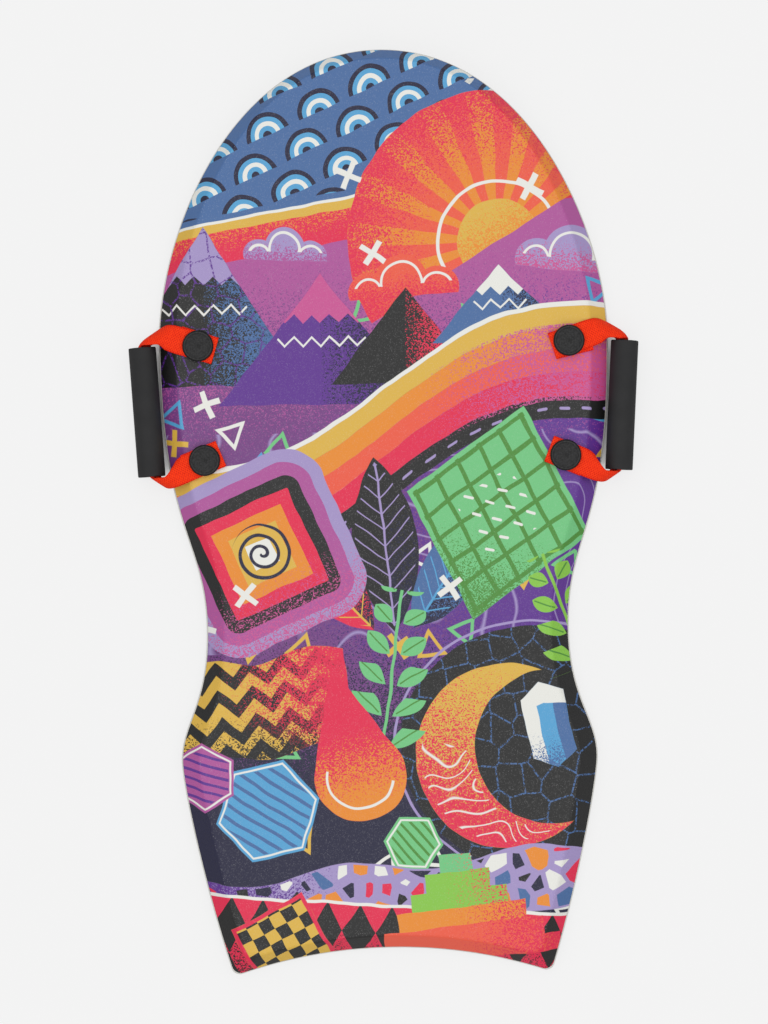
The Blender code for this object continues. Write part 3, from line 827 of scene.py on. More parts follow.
def paint_hips(art):
    """A night sky with a moon and a crystal, zigzags, branches, a drop and hatched hexagons."""
    u, v = art.local(146, -238, -12)
    night = hypot(u * 0.9, v) - 122
    art.paint(night, BLACK)
    crackle(art, night, 26, 0.8, SLATE)
    art.paint(abs(night - 5) - 1.2, LILAC)
    u, v = art.local(118, -244, -20)
    moon = crescent(art, u, v, 92, OCHRE, CRIMSON)
    contours(art, most(moon + 6, v + 10), 0.02, 0.06, CHALK)
    gem(art, *art.local(158, -214, 12), 22, 44, (SKY, CHALK, SLATE))
    u, v = art.local(-150, -196, 8)
    area = abs(v + (u * 0.06).sine() * 5) - 48
    area = most(area, u - 112)
    art.paint(area, BLACK)
    zigzags(art, area, u, v, 27, 17, 0.5, OCHRE)
    art.spray(area, CRIMSON, (u + 20) / 120)
    art.spray(area, BLACK, (v - 4) / -80)
    branch(art, *art.local(-8, -244, -8), 168, 31, 56, MINT, LEAF)
    branch(art, *art.local(196, -156, 20), 118, 27, 46, LIME, LEAF)
    drop(art, *art.local(-30, -262, 14), 46, 112, CRIMSON, ORANGE)
    hexagon(art, *art.local(-122, -296, 12), 46, SKY, SLATE, 15)
    hexagon(art, *art.local(-186, -262, 30), 30, ORCHID, VIOLET, 12)
    hexagon(art, *art.local(22, -330, -4), 26, MINT, LEAF, 11)


def paint_tail(art):
    """Terrazzo, a chequered cloth, diamonds and a stepped pyramid."""
    u, v = art.local(0, -352, 5)
    area = most(v + (u * 0.035).sine() * 7, -(v + 60))
    art.paint(area, LILAC)
    art.spray(area, VIOLET, (u + 40) / -150)
    chips(art, area + 2, 20, (CRIMSON, NAVY, CHALK, ORANGE, SLATE, BLACK))
    u, v = art.local(0, -392, -4)
    art.paint(v, BLACK)
    harlequin(art, v, u, v, 32, 56, CRIMSON)
    art.spray(v, BLACK, (v + 10) / -110)
    art.paint(abs(v) - 1.6, CHALK)
    u, v = art.local(-86, -470, 28)
    cloth = most(abs(u) - 40, v - 84)
    art.paint(cloth, OCHRE)
    checks(art, cloth, u, v, 13, BLACK)
    art.paint(most(abs(cloth + 2) - 2, v - 84), CRIMSON)
    u, v = art.local(74, -448, 6)
    shape = steps(art, u, v, 96, 18, 6, (CORAL, ORANGE, OCHRE, LIME, MINT, CHALK))
    art.spray(shape, CRIMSON, (u + 20) / 130)


def deck_pattern(tree):
    """The whole deck, from the ground colour up to the small marks."""
    art = Painting(tree, PURPLE)
    paint_ground(art)
    _, y = art.local(0, 0)
    confetti(art, y - 400, 62, triangle_shape, 9, 0.5, (MINT, CHALK, SKY, OCHRE))
    paint_sky(art)
    paint_mountains(art)
    paint_middle(art)
    confetti(art, abs(y - 130) - 300, 104, plus_shape, 14, 0.4, (CHALK, CHALK, OCHRE, CHALK))
    paint_hips(art)
    paint_tail(art)
    return art.colour


# Materials. The scale of a texture is in repeats to the metre
PEBBLE_SCALE = 950
# Normals at which the deck film's painted highlights show: flat, facing forward, and on the crease
GLINT_FLAT_NORMALS = 0.8167, 0.9833
GLINT_FORWARD_NORMALS = 0.0667, 0.4
CREASE_GLINT_NORMAL = 0.92
CREASE_GLINT_REACH = 0.0667
GLINT_CHANCE = 0.5385, 0.9231
GLINT_RADIUS = 0.625
# Reaches of the caps' painted highlight on the bead and painted shade in the groove and over the
# rim
CAP_BEAD_HIGHLIGHT_REACH = 0.00111
CAP_GROOVE_SHADE_REACH = 0.00091
CAP_EDGE_SHADE_FADE = 0.001
CAP_MOTTLE = 0.353, 0.647
WEB_MAP = "along_across"
WEFT_PITCH = 0.0026
WARP_PITCH = 0.0034
# Insets from the webbing's edge where its painted edge shade starts and is full
SELVEDGE_SHADE_FADE = 0.0018, 0.00013
# The pale colour of the deck film's painted highlights
GLINT_COLOUR = colour(245, 244, 246)
SHEET_COLOURS = colour(213, 211, 205), colour(219, 217, 211)
FOAM_COLOURS = colour(205, 204, 200), colour(238, 238, 234)
PLASTIC_COLOURS = colour(30, 30, 31), colour(38, 38, 39)
CAP_COLOURS = colour(10, 10, 11), colour(58, 58, 59)
GRIP_COLOURS = colour(41, 41, 42), colour(44, 44, 45)
WEBBING_COLOURS = colour(212, 26, 8), colour(255, 62, 22)


def material(name, roughness, specular=None):
    made = bpy.data.materials.new(name)
    made.use_nodes = True
    shader = made.node_tree.nodes["Principled BSDF"]
    shader.inputs["Roughness"].default_value = roughness
    if specular is not None:
        shader.inputs["Specular IOR Level"].default_value = specular
    return made, made.node_tree, shader


def bump(tree, shader, height, strength, distance, under=None):
    node = add_node(tree, "Bump", Strength=strength, Distance=distance, Height=height)
    if under:
        feed(tree, node.inputs["Normal"], under)
    feed(tree, shader.inputs["Normal"], node.outputs[0])
    return node.outputs[0]


def shade_between(tree, shader, share, dark, light, low=0.35, high=0.65):
    """Colours a shader between two shades, as a number runs from low to high."""
    feed(tree, shader.inputs["Base Color"], mix(tree, dark, light, share.spread(low, high)))


def printed_film():
    """The deck's pattern under a clear pebbled film, with painted highlights: fine pale glints
    where it lies flat, and stronger ones on the crease, most where it faces forward.
    """
    made, tree, shader = material("printed_film", roughness=0.42)
    pattern = deck_pattern(tree)
    _, forward, upright = parts(tree, own_place(tree, "Normal"))
    # Painted highlights: pale glints on the pebbles where the film lies flat, and stronger ones
    # along the crease, most where it faces forward
    flat = upright.spread(*GLINT_FLAT_NORMALS)
    front = forward.spread(*GLINT_FORWARD_NORMALS)
    crease = upright.near(CREASE_GLINT_NORMAL, CREASE_GLINT_REACH) * (front * 0.5 + 0.5)
    pebbles = texture(tree, "Voronoi", PEBBLE_SCALE)
    distance = Num(tree, pebbles.outputs["Distance"])
    chance = Num(tree, pebbles.outputs["Color"])
    glint = chance.spread(*GLINT_CHANCE) * distance.near(0.0, GLINT_RADIUS)
    strength = glint * (noise(tree, 90) + 0.5) * (flat * 0.16 + crease * 0.5)
    feed(tree, shader.inputs["Base Color"], mix(tree, pattern, GLINT_COLOUR, strength))
    broad = bump(tree, shader, noise(tree, 14), strength=0.25, distance=0.002)
    bump(tree, shader, distance, strength=0.5, distance=0.0003, under=broad)
    return made


def slick_film():
    """A smooth stiff sheet, a little cloudy and scuffed."""
    made, tree, shader = material("slick_film", roughness=0.28)
    shade_between(tree, shader, noise(tree, 30, Detail=4.0), *SHEET_COLOURS)
    bump(tree, shader, noise(tree, 240, Detail=3.0), strength=0.15, distance=0.0002)
    return made


def foam():
    """Closed cells about a millimetre wide."""
    made, tree, shader = material("foam", roughness=0.9)
    distance = Num(tree, texture(tree, "Voronoi", 900).outputs["Distance"])
    shade_between(tree, shader, distance, *FOAM_COLOURS)
    bump(tree, shader, distance, strength=0.4, distance=0.0004)
    return made


def moulded_plastic():
    """Black plastic with a fine spark-eroded grain."""
    made, tree, shader = material("moulded_plastic", roughness=0.55, specular=0.25)
    shade_between(tree, shader, noise(tree, 120, Detail=3.0), *PLASTIC_COLOURS)
    bump(tree, shader, noise(tree, 2600), strength=0.45, distance=0.0002)
    return made


def cap_plastic():
    """The same plastic, with a painted highlight on the bead and painted shade in the groove, over
    the rounded rim and in the dimple.
    """
    made, tree, shader = material("cap_plastic", roughness=0.5, specular=0.3)
    x, y, _ = parts(tree, own_place(tree))
    reach = hypot(x, y)
    crest = CAP_RADIUS - CAP_RIM_RADIUS
    # Painted light: a highlight on the bead, and painted shade in the groove, over the rim's
    # rounded edge and in the dimple; the mottle is random tone
    bead = reach.near(crest, CAP_BEAD_HIGHLIGHT_REACH)
    groove = reach.near(crest - 2 * CAP_GROOVE_INSET, CAP_GROOVE_SHADE_REACH)
    edge = reach.spread(crest, crest + CAP_EDGE_SHADE_FADE)
    dimple = reach.near(0.0, CAP_DIMPLE_RADIUS)
    mottle = noise(tree, 520, Detail=5.0, Roughness=0.75).spread(*CAP_MOTTLE)
    share = mottle * 0.7 + bead * 0.30 - groove * 0.22 - edge * 0.75 - dimple * 0.15
    shade_between(tree, shader, share, *CAP_COLOURS, 0.0, 1.0)
    bump(tree, shader, noise(tree, 2200), strength=0.6, distance=0.0003)
    return made


def grip_foam():
    """Smooth black foam rubber with a fine closed skin."""
    made, tree, shader = material("grip_foam", roughness=0.62, specular=0.2)
    shade_between(tree, shader, noise(tree, 60, Detail=3.0), *GRIP_COLOURS)
    bump(tree, shader, noise(tree, 1500, Detail=3.0), strength=0.3, distance=0.0002)
    return made


def woven_webbing():
    """Plain-woven flat webbing, with painted shade in the weave's hollows and along its edges, on
    coordinates that run along and across it in metres.
    """
    made, tree, shader = material("webbing", roughness=0.75, specular=0.12)
    uv = add_node(tree, "UVMap")
    uv.uv_map = WEB_MAP
    along, across, _ = parts(tree, uv.outputs[0])
    warp = across * (2 * math.pi / WARP_PITCH)
    weave = (along * (2 * math.pi / WEFT_PITCH)).sine() * warp.sine()
    height = weave * 0.6 + abs(warp.cosine()) * 0.4
    uneven = noise(tree, 420, place=uv.outputs[0]) * 4.0 - 2.0
    fade_start, fade_end = (WEBBING_WIDTH / 2 - inset for inset in SELVEDGE_SHADE_FADE)
    selvedge_shade = abs(across).spread(fade_start, fade_end)
    # Painted shade: darker where the weave lies low and towards the rounded edges; the uneven part
    # is random tone
    shade = height + uneven * 0.45 - selvedge_shade * 0.55
    shade_between(tree, shader, shade, *WEBBING_COLOURS, -0.7, 0.65)
    bump(tree, shader, height, strength=0.7, distance=0.0003)
    return made


# Board
def edge_stretches():
    """The right-hand edge as cubic curves: nose to shoulder, to waist, to hip, to tail."""
    back = Vector((0, -1))
    nose = Vector((0, LENGTH / 2))
    shoulder = Vector((SHOULDER_WIDTH / 2, SHOULDER_Y))
    waist = Vector((WAIST_WIDTH / 2, WAIST_Y))
    hip = Vector((HIP_WIDTH / 2, HIP_Y))
    tail = Vector((TAIL_WIDTH / 2, -LENGTH / 2))
    run_out = Vector((-math.sin(TAIL_TAPER), -math.cos(TAIL_TAPER)))
    return (
        (nose, nose + Vector((NOSE_FULLNESS, 0)), shoulder - back * SHOULDER_FULLNESS[0], shoulder),
        (shoulder, shoulder + back * SHOULDER_FULLNESS[1], waist - back * WAIST_FULLNESS[0], waist),
        (waist, waist + back * WAIST_FULLNESS[1], hip - back * HIP_FULLNESS[0], hip),
        (hip, hip + back * HIP_FULLNESS[1], tail - run_out * TAIL_FULLNESS, tail),
    )


STRETCHES = edge_stretches()


def edge_at(t):
    """A point on the edge, for t from 0 at the nose to 4 at the tail, and its inward normal."""
    index = min(int(t), 3)
    place, heading = bezier(STRETCHES[index], t - index)
    return place, Vector((heading.y, -heading.x))


def half_width_at(y):
    return edge_at(bisect(lambda t: edge_at(t)[0].y - y, 0.0, 4.0))[0].x


def tail_hollow_centre():
    low = TAIL_CORNER_RADIUS - LENGTH / 2

    def height(t):
        place, inward = edge_at(t)
        return place.y + inward.y * TAIL_CORNER_RADIUS - low

    place, inward = edge_at(bisect(height, 3.0, 4.0))
    corner = place + inward * TAIL_CORNER_RADIUS
    reach = TAIL_HOLLOW_RADIUS + TAIL_CORNER_RADIUS
    return Vector((0, corner.y - math.sqrt(reach**2 - corner.x**2)))


HOLLOW_CENTRE = tail_hollow_centre()


def inset_share(t):
    nose_share = NOSE_CREASE_INSET / CREASE_INSET
    return nose_share + (1 - nose_share) * smoothstep(t, *CREASE_WIDENS)


def outline(inset, corner_radius):
    """The right half of the outline moved inwards, from the nose tip to the middle of the tail."""
    tail_inset = inset * TAIL_CREASE_INSET / CREASE_INSET
    reach = TAIL_HOLLOW_RADIUS + tail_inset

    def moved(t, distance):
        place, inward = edge_at(t)
        return place + inward * distance

    def corner_gap(t):
        centre = moved(t, inset * inset_share(t) + corner_radius)
        return (centre - HOLLOW_CENTRE).length - reach - corner_radius

    end = bisect(corner_gap, 3.0, 4.0)
    turns = []
    for index, steps in enumerate((NOSE_STEPS, FRONT_WAIST_STEPS, REAR_WAIST_STEPS)):
        turns += [index + k / steps for k in range(steps)]
    turns += [3 + (end - 3) * k / TAIL_SIDE_STEPS for k in range(TAIL_SIDE_STEPS + 1)]
    points = [moved(t, inset * inset_share(t)) for t in turns]

    centre = moved(end, inset * inset_share(end) + corner_radius)
    start = math.atan2(*reversed(points[-1] - centre))
    to_hollow = HOLLOW_CENTRE - centre
    finish = math.atan2(to_hollow.y, to_hollow.x)
    for k in range(1, CORNER_STEPS + 1):
        angle = start + (finish - start) * k / CORNER_STEPS
        points.append(centre + corner_radius * Vector((math.cos(angle), math.sin(angle))))
    half_angle = math.atan2(points[-1].x - HOLLOW_CENTRE.x, points[-1].y - HOLLOW_CENTRE.y)
    for k in range(1, HOLLOW_STEPS + 1):
        angle = half_angle * (1 - k / HOLLOW_STEPS)
        points.append(HOLLOW_CENTRE + reach * Vector((math.sin(angle), math.cos(angle))))
    return points


def rocker(y):
    """How far the nose curves up, as an arc that starts where the base's flat ends."""
    run = LENGTH / 2 - ROCKER_START_Y
    radius = (run**2 + NOSE_LIFT**2) / (2 * NOSE_LIFT)
    past = min(max(y - ROCKER_START_Y, 0.0), run)
    return radius - math.sqrt(radius**2 - past**2)


def ring(inset, height):
    """A closed loop round the board at one point of its section."""
    share = min(inset / CREASE_INSET, 1.0)
    corner_radius = TAIL_CORNER_RADIUS + (CREASE_CORNER_RADIUS - TAIL_CORNER_RADIUS) * share
    right = outline(inset, corner_radius)
    loop = [Vector((p.x, p.y, height + rocker(p.y))) for p in right]
    left = [mirrored(point, -1) for point in loop[1:-1]]
    return loop + left[::-1]


def board_cap(shape, row):
    """Fills a loop of the board: strips across the curved nose, and one flat face behind it."""
    count = len(row)
    step = 0
    while row[step + 1].co.y > ROCKER_START_Y:
        corners = [row[step], row[step + 1], row[-step - 1], row[-step % count]]
        shape.faces.new(list(dict.fromkeys(corners)))
        step += 1
    shape.faces.new(row[step : count - step + 1] if step else row)


def rounded(corner, before, after, radius, steps):
    """An arc that rounds a corner between two neighbours."""
    back = (before - corner).normalized()
    on = (after - corner).normalized()
    half = math.acos(max(-1.0, min(1.0, back.dot(on)))) / 2
    middle = corner + (back + on).normalized() * (radius / math.sin(half))
    arm = corner + back * (radius / math.tan(half)) - middle
    sweep = math.pi - 2 * half
    side = 1 if back.x * on.y - back.y * on.x < 0 else -1
    return [middle + Matrix.Rotation(side * sweep * k / steps, 2) @ arm for k in range(steps + 1)]


def section():
    """The board's outer section as (inset, height) points: base part, then deck part."""
    inside = CREASE_INSET + THICKNESS
    foot = Vector((RAIL_FOOT_INSET, 0))
    edge = Vector((0, EDGE_HEIGHT))
    crease = Vector((CREASE_INSET, THICKNESS))
    rail = rounded(foot, Vector((inside, 0)), edge, RAIL_RADIUS, SECTION_STEPS)
    side = rounded(edge, foot, crease, EDGE_RADIUS, SECTION_STEPS)
    top = rounded(crease, edge, Vector((inside, THICKNESS)), CREASE_RADIUS, SECTION_STEPS)
    widest = min(point.x for point in rail + side)
    slope = (top[0] - side[-1]).normalized()
    seam = side[-1] + slope * ((SEAM_INSET + widest - side[-1].x) / slope.x)
    shift = Vector((widest, 0))
    base = [point - shift for point in rail + side + [seam - slope * (GAP / 2)]]
    deck_part = [point - shift for point in [seam + slope * (GAP / 2)] + top]
    margin = Vector((FLAT_MARGIN, 0))
    return [base[0] + margin] + base, deck_part + [deck_part[-1] + margin]


def thickened(line, distance):
    """A section line moved into the board by a distance, square to itself."""
    moved = []
    for k, point in enumerate(line):
        legs = []
        if k > 0:
            legs.append((point - line[k - 1]).normalized())
        if k < len(line) - 1:
            legs.append((line[k + 1] - point).normalized())
        normals = [Vector((leg.y, -leg.x)) for leg in legs]
        middle = sum(normals, Vector((0, 0))).normalized()
        moved.append(point + middle * (distance / middle.dot(normals[0])))
    return moved


BASE_LINE, DECK_LINE = section()
FRONT_CAP = Vector((half_width_at(FRONT_CAP_Y) - FRONT_CAP_INSET, FRONT_CAP_Y, 0))
REAR_CAP = Vector((half_width_at(REAR_CAP_Y) - REAR_CAP_INSET, REAR_CAP_Y, 0))


def board_shell(name, line, finish):
    shape = bmesh.new()
    join_loops(shape, [ring(*point) for point in line], board_cap, board_cap)
    return to_object(name, shape, finish, SHARP_ANGLE)


def carve(target, shape, operation="DIFFERENCE"):
    """Cuts or joins a shape and leaves the result in the target's own mesh."""
    cutter = to_object("cutter", shape, target.data.materials[0])
    modifier = target.modifiers.new("carve", "BOOLEAN")
    modifier.operation = operation
    modifier.object = cutter
    bpy.context.view_layer.update()
    graph = bpy.context.evaluated_depsgraph_get()
    mesh = bpy.data.meshes.new_from_object(target.evaluated_get(graph))
    mesh.set_sharp_from_angle(angle=SHARP_ANGLE)
    target.modifiers.clear()
    target.data = mesh
    bpy.data.objects.remove(cutter, do_unlink=True)


def at_every_cap(profile):
    """The same turned shape at each of the four fasteners."""
    shape = bmesh.new()
    for _, side in SIDES:
        for place in (FRONT_CAP, REAR_CAP):
            piece = turned(profile)
            bmesh.ops.translate(piece, verts=piece.verts[:], vec=mirrored(place, side))
            mesh = bpy.data.meshes.new("piece")
            piece.to_mesh(mesh)
            piece.free()
            shape.from_mesh(mesh)
            bpy.data.meshes.remove(mesh)
    return shape


def recess_profile(outset, foot):
    top = RECESS_DEPTH + outset
    high = SCREW_HEAD_RADIUS + RECESS_CLEARANCE + outset
    low = high + RECESS_DRAFT / RECESS_DEPTH * (top - foot)
    return [(0, foot), (low, foot), (high, top), (0, top)]


def make_board():
    deck_line = DECK_LINE[::-1] + thickened(DECK_LINE, DECK_SKIN)
    base_line = BASE_LINE + thickened(BASE_LINE, BASE_SKIN)[::-1]
    core_line = thickened(BASE_LINE, BASE_SKIN + GAP) + thickened(DECK_LINE, DECK_SKIN + GAP)
    deck = board_shell("deck_print", deck_line, printed_film())
    base = board_shell("base_sheet", base_line, slick_film())
    core = board_shell("foam_body", core_line, foam())
    carve(base, at_every_cap(recess_profile(BASE_SKIN, BASE_SKIN / 2)), "UNION")
    carve(base, at_every_cap(recess_profile(0.0, -RECESS_DEPTH)))
    carve(core, at_every_cap(recess_profile(BASE_SKIN + GAP, -RECESS_DEPTH)))
    stand_for(deck, "board", "printed_film", "deck_skin")
    stand_for(base, "board", "slick_film", "slick_base")
    stand_for(core, "board", "foam", "foam_core")


# Fasteners
def cap_profile():
    """A low cap with a bead round its rim, a soft dimple, and the barrel that takes the screw."""
    bead = CAP_RADIUS - CAP_RIM_RADIUS
    groove = bead - CAP_GROOVE_INSET
    groove_in, groove_out = groove - CAP_GROOVE_HALF, groove + CAP_GROOVE_HALF
    top = CAP_HEIGHT
    shares = [k / DIMPLE_STEPS for k in range(DIMPLE_STEPS + 1)]
    dimple = [
        (CAP_DIMPLE_RADIUS * share, top - CAP_DIMPLE_DEPTH * (1 - smoothstep(share, 0, 1)))
        for share in shares
    ]
    rim = round_corner((bead, top - CAP_RIM_RADIUS), CAP_RIM_RADIUS, 90, 0)
    return (
        dimple
        + [(groove_in, top), (groove, top - CAP_GROOVE_DEPTH), (groove_out, top)]
        + rim
        + [
            (CAP_RADIUS, CAP_FOOT_CHAMFER),
            (CAP_RADIUS - CAP_FOOT_CHAMFER, 0),
            (BARREL_RADIUS, 0),
            (BARREL_RADIUS, BARREL_END_Z - CAP_Z),
            (0, BARREL_END_Z - CAP_Z),
        ]
    )


def screw_profile():
    chamfer = SCREW_CHAMFER
    return [
        (0, 0),
        (SCREW_HEAD_RADIUS - chamfer, 0),
        (SCREW_HEAD_RADIUS, chamfer),
        (SCREW_HEAD_RADIUS, SCREW_HEAD_HEIGHT),
        (SCREW_SHANK_RADIUS, SCREW_HEAD_HEIGHT),
        (SCREW_SHANK_RADIUS, SCREW_LENGTH - chamfer),
        (SCREW_SHANK_RADIUS - chamfer, SCREW_LENGTH),
        (0, SCREW_LENGTH),
    ]


def slot_shape():
    shape = bmesh.new()
    size = (SLOT_LENGTH, SLOT_WIDTH, 2 * SLOT_DEPTH, 1)
    bmesh.ops.create_cube(shape, size=1, matrix=Matrix.Diagonal(size))
    return shape


def make_fasteners():
    plastic = moulded_plastic()
    grained = cap_plastic()
    for side_name, side in SIDES:
        for place, end_name in ((FRONT_CAP, "front"), (REAR_CAP, "rear")):
            spot = mirrored(place, side)
            node = f"{side_name}_{end_name}"
            cap = to_object(node + "_plug", turned(cap_profile()), grained)
            cap.location = spot + UP * CAP_Z
            stand_for(cap, "board", "cap_plastic", node + "_cap")
            screw = to_object(node + "_bolt", turned(screw_profile()), plastic)
            carve(screw, slot_shape())
            screw.location = spot + UP * GAP
            stand_for(screw, "board", "screw_plastic", node + "_screw")


# Grips
def grip_centre():
    """The right-hand grip lies on the ground, just clear of the board's edge along its length."""
    tangent = math.tan(GRIP_TILT)
    reach = GRIP_EDGE_GAP + GRIP_RADIUS / math.cos(GRIP_TILT)
    furthest = 0.0
    for k in range(GRIP_FIT_STEPS + 1):
        along = GRIP_LENGTH * (k / GRIP_FIT_STEPS - 0.5)
        furthest = max(furthest, half_width_at(GRIP_MIDDLE_Y + along) + reach - along * tangent)
    return Vector((furthest, GRIP_MIDDLE_Y, GRIP_RADIUS + GAP))


GRIP_CENTRE = grip_centre()
GRIP_FORWARD = Vector((math.sin(GRIP_TILT), math.cos(GRIP_TILT), 0))


def tube_profile(outer, inner, half, end_round):
    upper = [(inner, half - end_round / 2), (inner + end_round / 2, half)]
    upper += round_corner((outer - end_round, half - end_round), end_round, 90, 0)
    return upper + [(radius, -height) for radius, height in reversed(upper)]


def make_grips():
    sleeve = tube_profile(GRIP_RADIUS, GRIP_RADIUS - GRIP_WALL, GRIP_LENGTH / 2, GRIP_END_ROUND)
    liner_half = GRIP_LENGTH / 2 - LINER_RECESS
    liner = tube_profile(LINER_OUTER, LINER_INNER, liner_half, LINER_END_ROUND)
    tubes = (
        ("sleeve", sleeve, grip_foam(), "grip_foam"),
        ("liner", liner, moulded_plastic(), "liner_plastic"),
    )
    for side_name, side in SIDES:
        forward = mirrored(GRIP_FORWARD, side)
        turn = Matrix((UP.cross(forward), UP, forward)).transposed().to_4x4()
        for name, profile, finish, slot in tubes:
            piece = to_object(f"{side_name}_{name}", turned(profile), finish)
            piece.matrix_world = Matrix.Translation(mirrored(GRIP_CENTRE, side)) @ turn
            stand_for(piece, f"{side_name}_grip", slot, f"{side_name}_grip_{name}")
            name == "sleeve"


# Webbing
class Drape(NamedTuple):
    """How a leg's webbing lies, in degrees, and in metres along it from the cap."""

    heading: float  # how far the leg leans towards the nose
    bend_start: float  # where it starts to roll over the board's edge
    bulge: float  # how far it stands out sideways
    bulge_at: float
    skew: float  # the turn of the lower layer of its folded end
    inner_start: float = 0.004  # how much later its inner half starts to roll
    inner_turn: float = 0.0  # how much later its inner half makes the second bend
    tuck_share: float = 0.40  # how far its inner half curls up before the grip
    tuck: tuple = (0.012, 0.038)  # where that curl starts and is full
    give_back: float = 0.5  # how much of that curl opens again


REAR_FOLD = {
    "inner_start": -0.008,
    "inner_turn": -0.014,
    "tuck_share": 1.0,
    "tuck": (0.012, 0.040),
    "give_back": 0.0,
}
LEFT_DRAPES = (
    Drape(heading=17.0, bend_start=0.0170, bulge=0.0025, bulge_at=0.066, skew=1.5),
    Drape(heading=-22.5, bend_start=0.0210, bulge=0.0020, bulge_at=0.054, skew=-1.0, **REAR_FOLD),
)
RIGHT_DRAPES = (
    Drape(heading=18.5, bend_start=0.0160, bulge=0.0040, bulge_at=0.064, skew=-5.5),
    Drape(heading=-22.0, bend_start=0.0215, bulge=0.0020, bulge_at=0.056, skew=1.0, **REAR_FOLD),
)


def hinge_line():
    """A point on the right-hand fold line of the webbing, and the way out from the board."""
    along = (FRONT_CAP - REAR_CAP).normalized()
    outward = Vector((along.y, -along.x, 0))
    height = LAYER_MIDDLE_Z + WEBBING_THICKNESS / 2
    return REAR_CAP + outward * (CAP_RADIUS + HINGE_MARGIN) + UP * height, outward


HINGE_POINT, HINGE_OUTWARD = hinge_line()


class Leg:
    """One leg of a handle: its end folded under the cap, the board's edge, a fold, the grip."""

    def __init__(self, cap, end, drape):
        """end is 1 in front and -1 behind."""
        heading = math.radians(drape.heading)
        self.drape = drape
        self.along = Vector((math.cos(heading), math.sin(heading), 0))
        self.outer = end * Vector((-self.along.y, self.along.x, 0))
        self.into = -end * GRIP_FORWARD
        self.fold = (self.along + self.into).normalized()
        self.beyond = (self.along - self.fold * self.along.dot(self.fold)).normalized()
        self.start = cap + UP * LAYER_MIDDLE_Z
        self.bottom = GRIP_CENTRE.z - CURL_RADIUS
        self.rim = GRIP_CENTRE - self.into * (GRIP_LENGTH / 2)
        self.mouth = self.rim + self.into * MOUTH_DEPTH
        self.mouth.z = self.bottom
        self.middles = self.trace()
        self.length = MIDDLE_STEP * next(
            k for k, place in enumerate(self.middles)
            if k * MIDDLE_STEP > GRIP_REACH and (place - self.mouth).dot(self.into) > 0
        )

    def roll(self, run, across):
        """How far the webbing has rolled over a slanting fold, which differs on its inner half."""
        level = run * self.along.dot(self.beyond) + across * self.outer.dot(self.beyond)
        inner = smoothstep(-across, 0, WEBBING_WIDTH / 2)
        start = self.drape.bend_start + self.drape.inner_start * inner
        turn = self.drape.bend_start + FIRST_BEND + self.drape.inner_turn * inner
        share = smoothstep(level, start, turn) + smoothstep(level, turn, turn + SECOND_BEND)
        return math.pi / 2 * share

    def swing(self, roll):
        """The way on across the fold, at a roll."""
        return self.beyond * math.cos(roll) - UP * math.sin(roll)

    def trace(self):
        """The middle line from the cap on, scaled in height to reach the grip's level."""
        places = [self.start.copy()]
        while len(places) * MIDDLE_STEP < LEG_LIMIT:
            roll = self.roll((len(places) - 0.5) * MIDDLE_STEP, 0.0)
            way = self.fold * self.along.dot(self.fold)
            way += self.swing(roll) * self.along.dot(self.beyond)
            places.append(places[-1] + way * MIDDLE_STEP)
        share = (self.start.z - self.bottom) / (self.start.z - places[-1].z)
        for place in places:
            place.z = self.start.z + (place.z - self.start.z) * share
        return places

    def middle(self, run):
        place = self.middles[min(round(run / MIDDLE_STEP), len(self.middles) - 1)]
        share = smoothstep(run, self.length - MERGE_START, self.length - MERGE_END)
        place = place.lerp(self.mouth + self.into * (run - self.length), share)
        hump = math.exp(-(((run - self.drape.bulge_at) / BULGE_SPREAD) ** 2))
        return place + self.beyond * (self.drape.bulge * hump)

    def station(self, run):
        """The middle layer's points across the webbing at a run, each with its outward face."""
        curled = smoothstep(run, self.length - CURL_START, self.length - CURL_END)
        tucked = self.drape.tuck_share * smoothstep(run, *self.drape.tuck)
        tucked *= 1 - self.drape.give_back * smoothstep(run, *GIVE_BACK)
        step = WEBBING_WIDTH / WEB_ACROSS_STEPS
        halves = []
        for side, tuck in ((-1, tucked), (1, 0.0)):
            curl = (tuck + (1 - tuck) * curled) / CURL_RADIUS
            place = self.middle(run)
            half = []
            for k in range(WEB_ACROSS_STEPS // 2 + 1):
                face = self.directions(run, side * k * step, curl)[1]
                half.append((self.clear_of_rim(place), face))
                way = self.directions(run, side * (k + 0.5) * step, curl)[0]
                place = place + way * (side * step)
            halves.append(half)
        return halves[0][:0:-1] + halves[1]

    def directions(self, run, across, curl):
        """The way to the outer edge and the outward face, at one point of the webbing."""
        roll = self.roll(run, across)
        edge = self.fold * self.outer.dot(self.fold)
        edge += self.swing(roll) * self.outer.dot(self.beyond)
        face = UP * math.cos(roll) + self.beyond * math.sin(roll)
        cosine, sine = math.cos(across * curl), math.sin(across * curl)
        return edge * cosine - face * sine, face * cosine + edge * sine

    def clear_of_rim(self, place):
        """Slides a point back where it would pass through the grip's end wall."""
        inside = (place - self.rim).dot(self.into) + RIM_CLEARANCE
        if inside < 0:
            return place
        offset = place - GRIP_CENTRE
        reach = (offset - self.into * offset.dot(self.into)).length
        share = smoothstep(reach, *RIM_NEAR) * (1 - smoothstep(reach, *RIM_FAR))
        return place - self.into * (inside * share)

    def flat(self, run, height, tilt):
        """A station of the folded end, at a run from the cap and a height above the upper layer."""
        skew = math.tan(math.radians(self.drape.skew)) * max(-height, 0.0) / LAYER_STEP
        drift = self.outer * (skew * (run - FOLD_CENTRE))
        middle = self.start + self.along * run + UP * height + drift
        face = self.along * math.cos(tilt) + UP * math.sin(tilt)
        shares = [k / WEB_ACROSS_STEPS - 0.5 for k in range(WEB_ACROSS_STEPS + 1)]
        return [(middle + self.outer * (WEBBING_WIDTH * share), face) for share in shares]

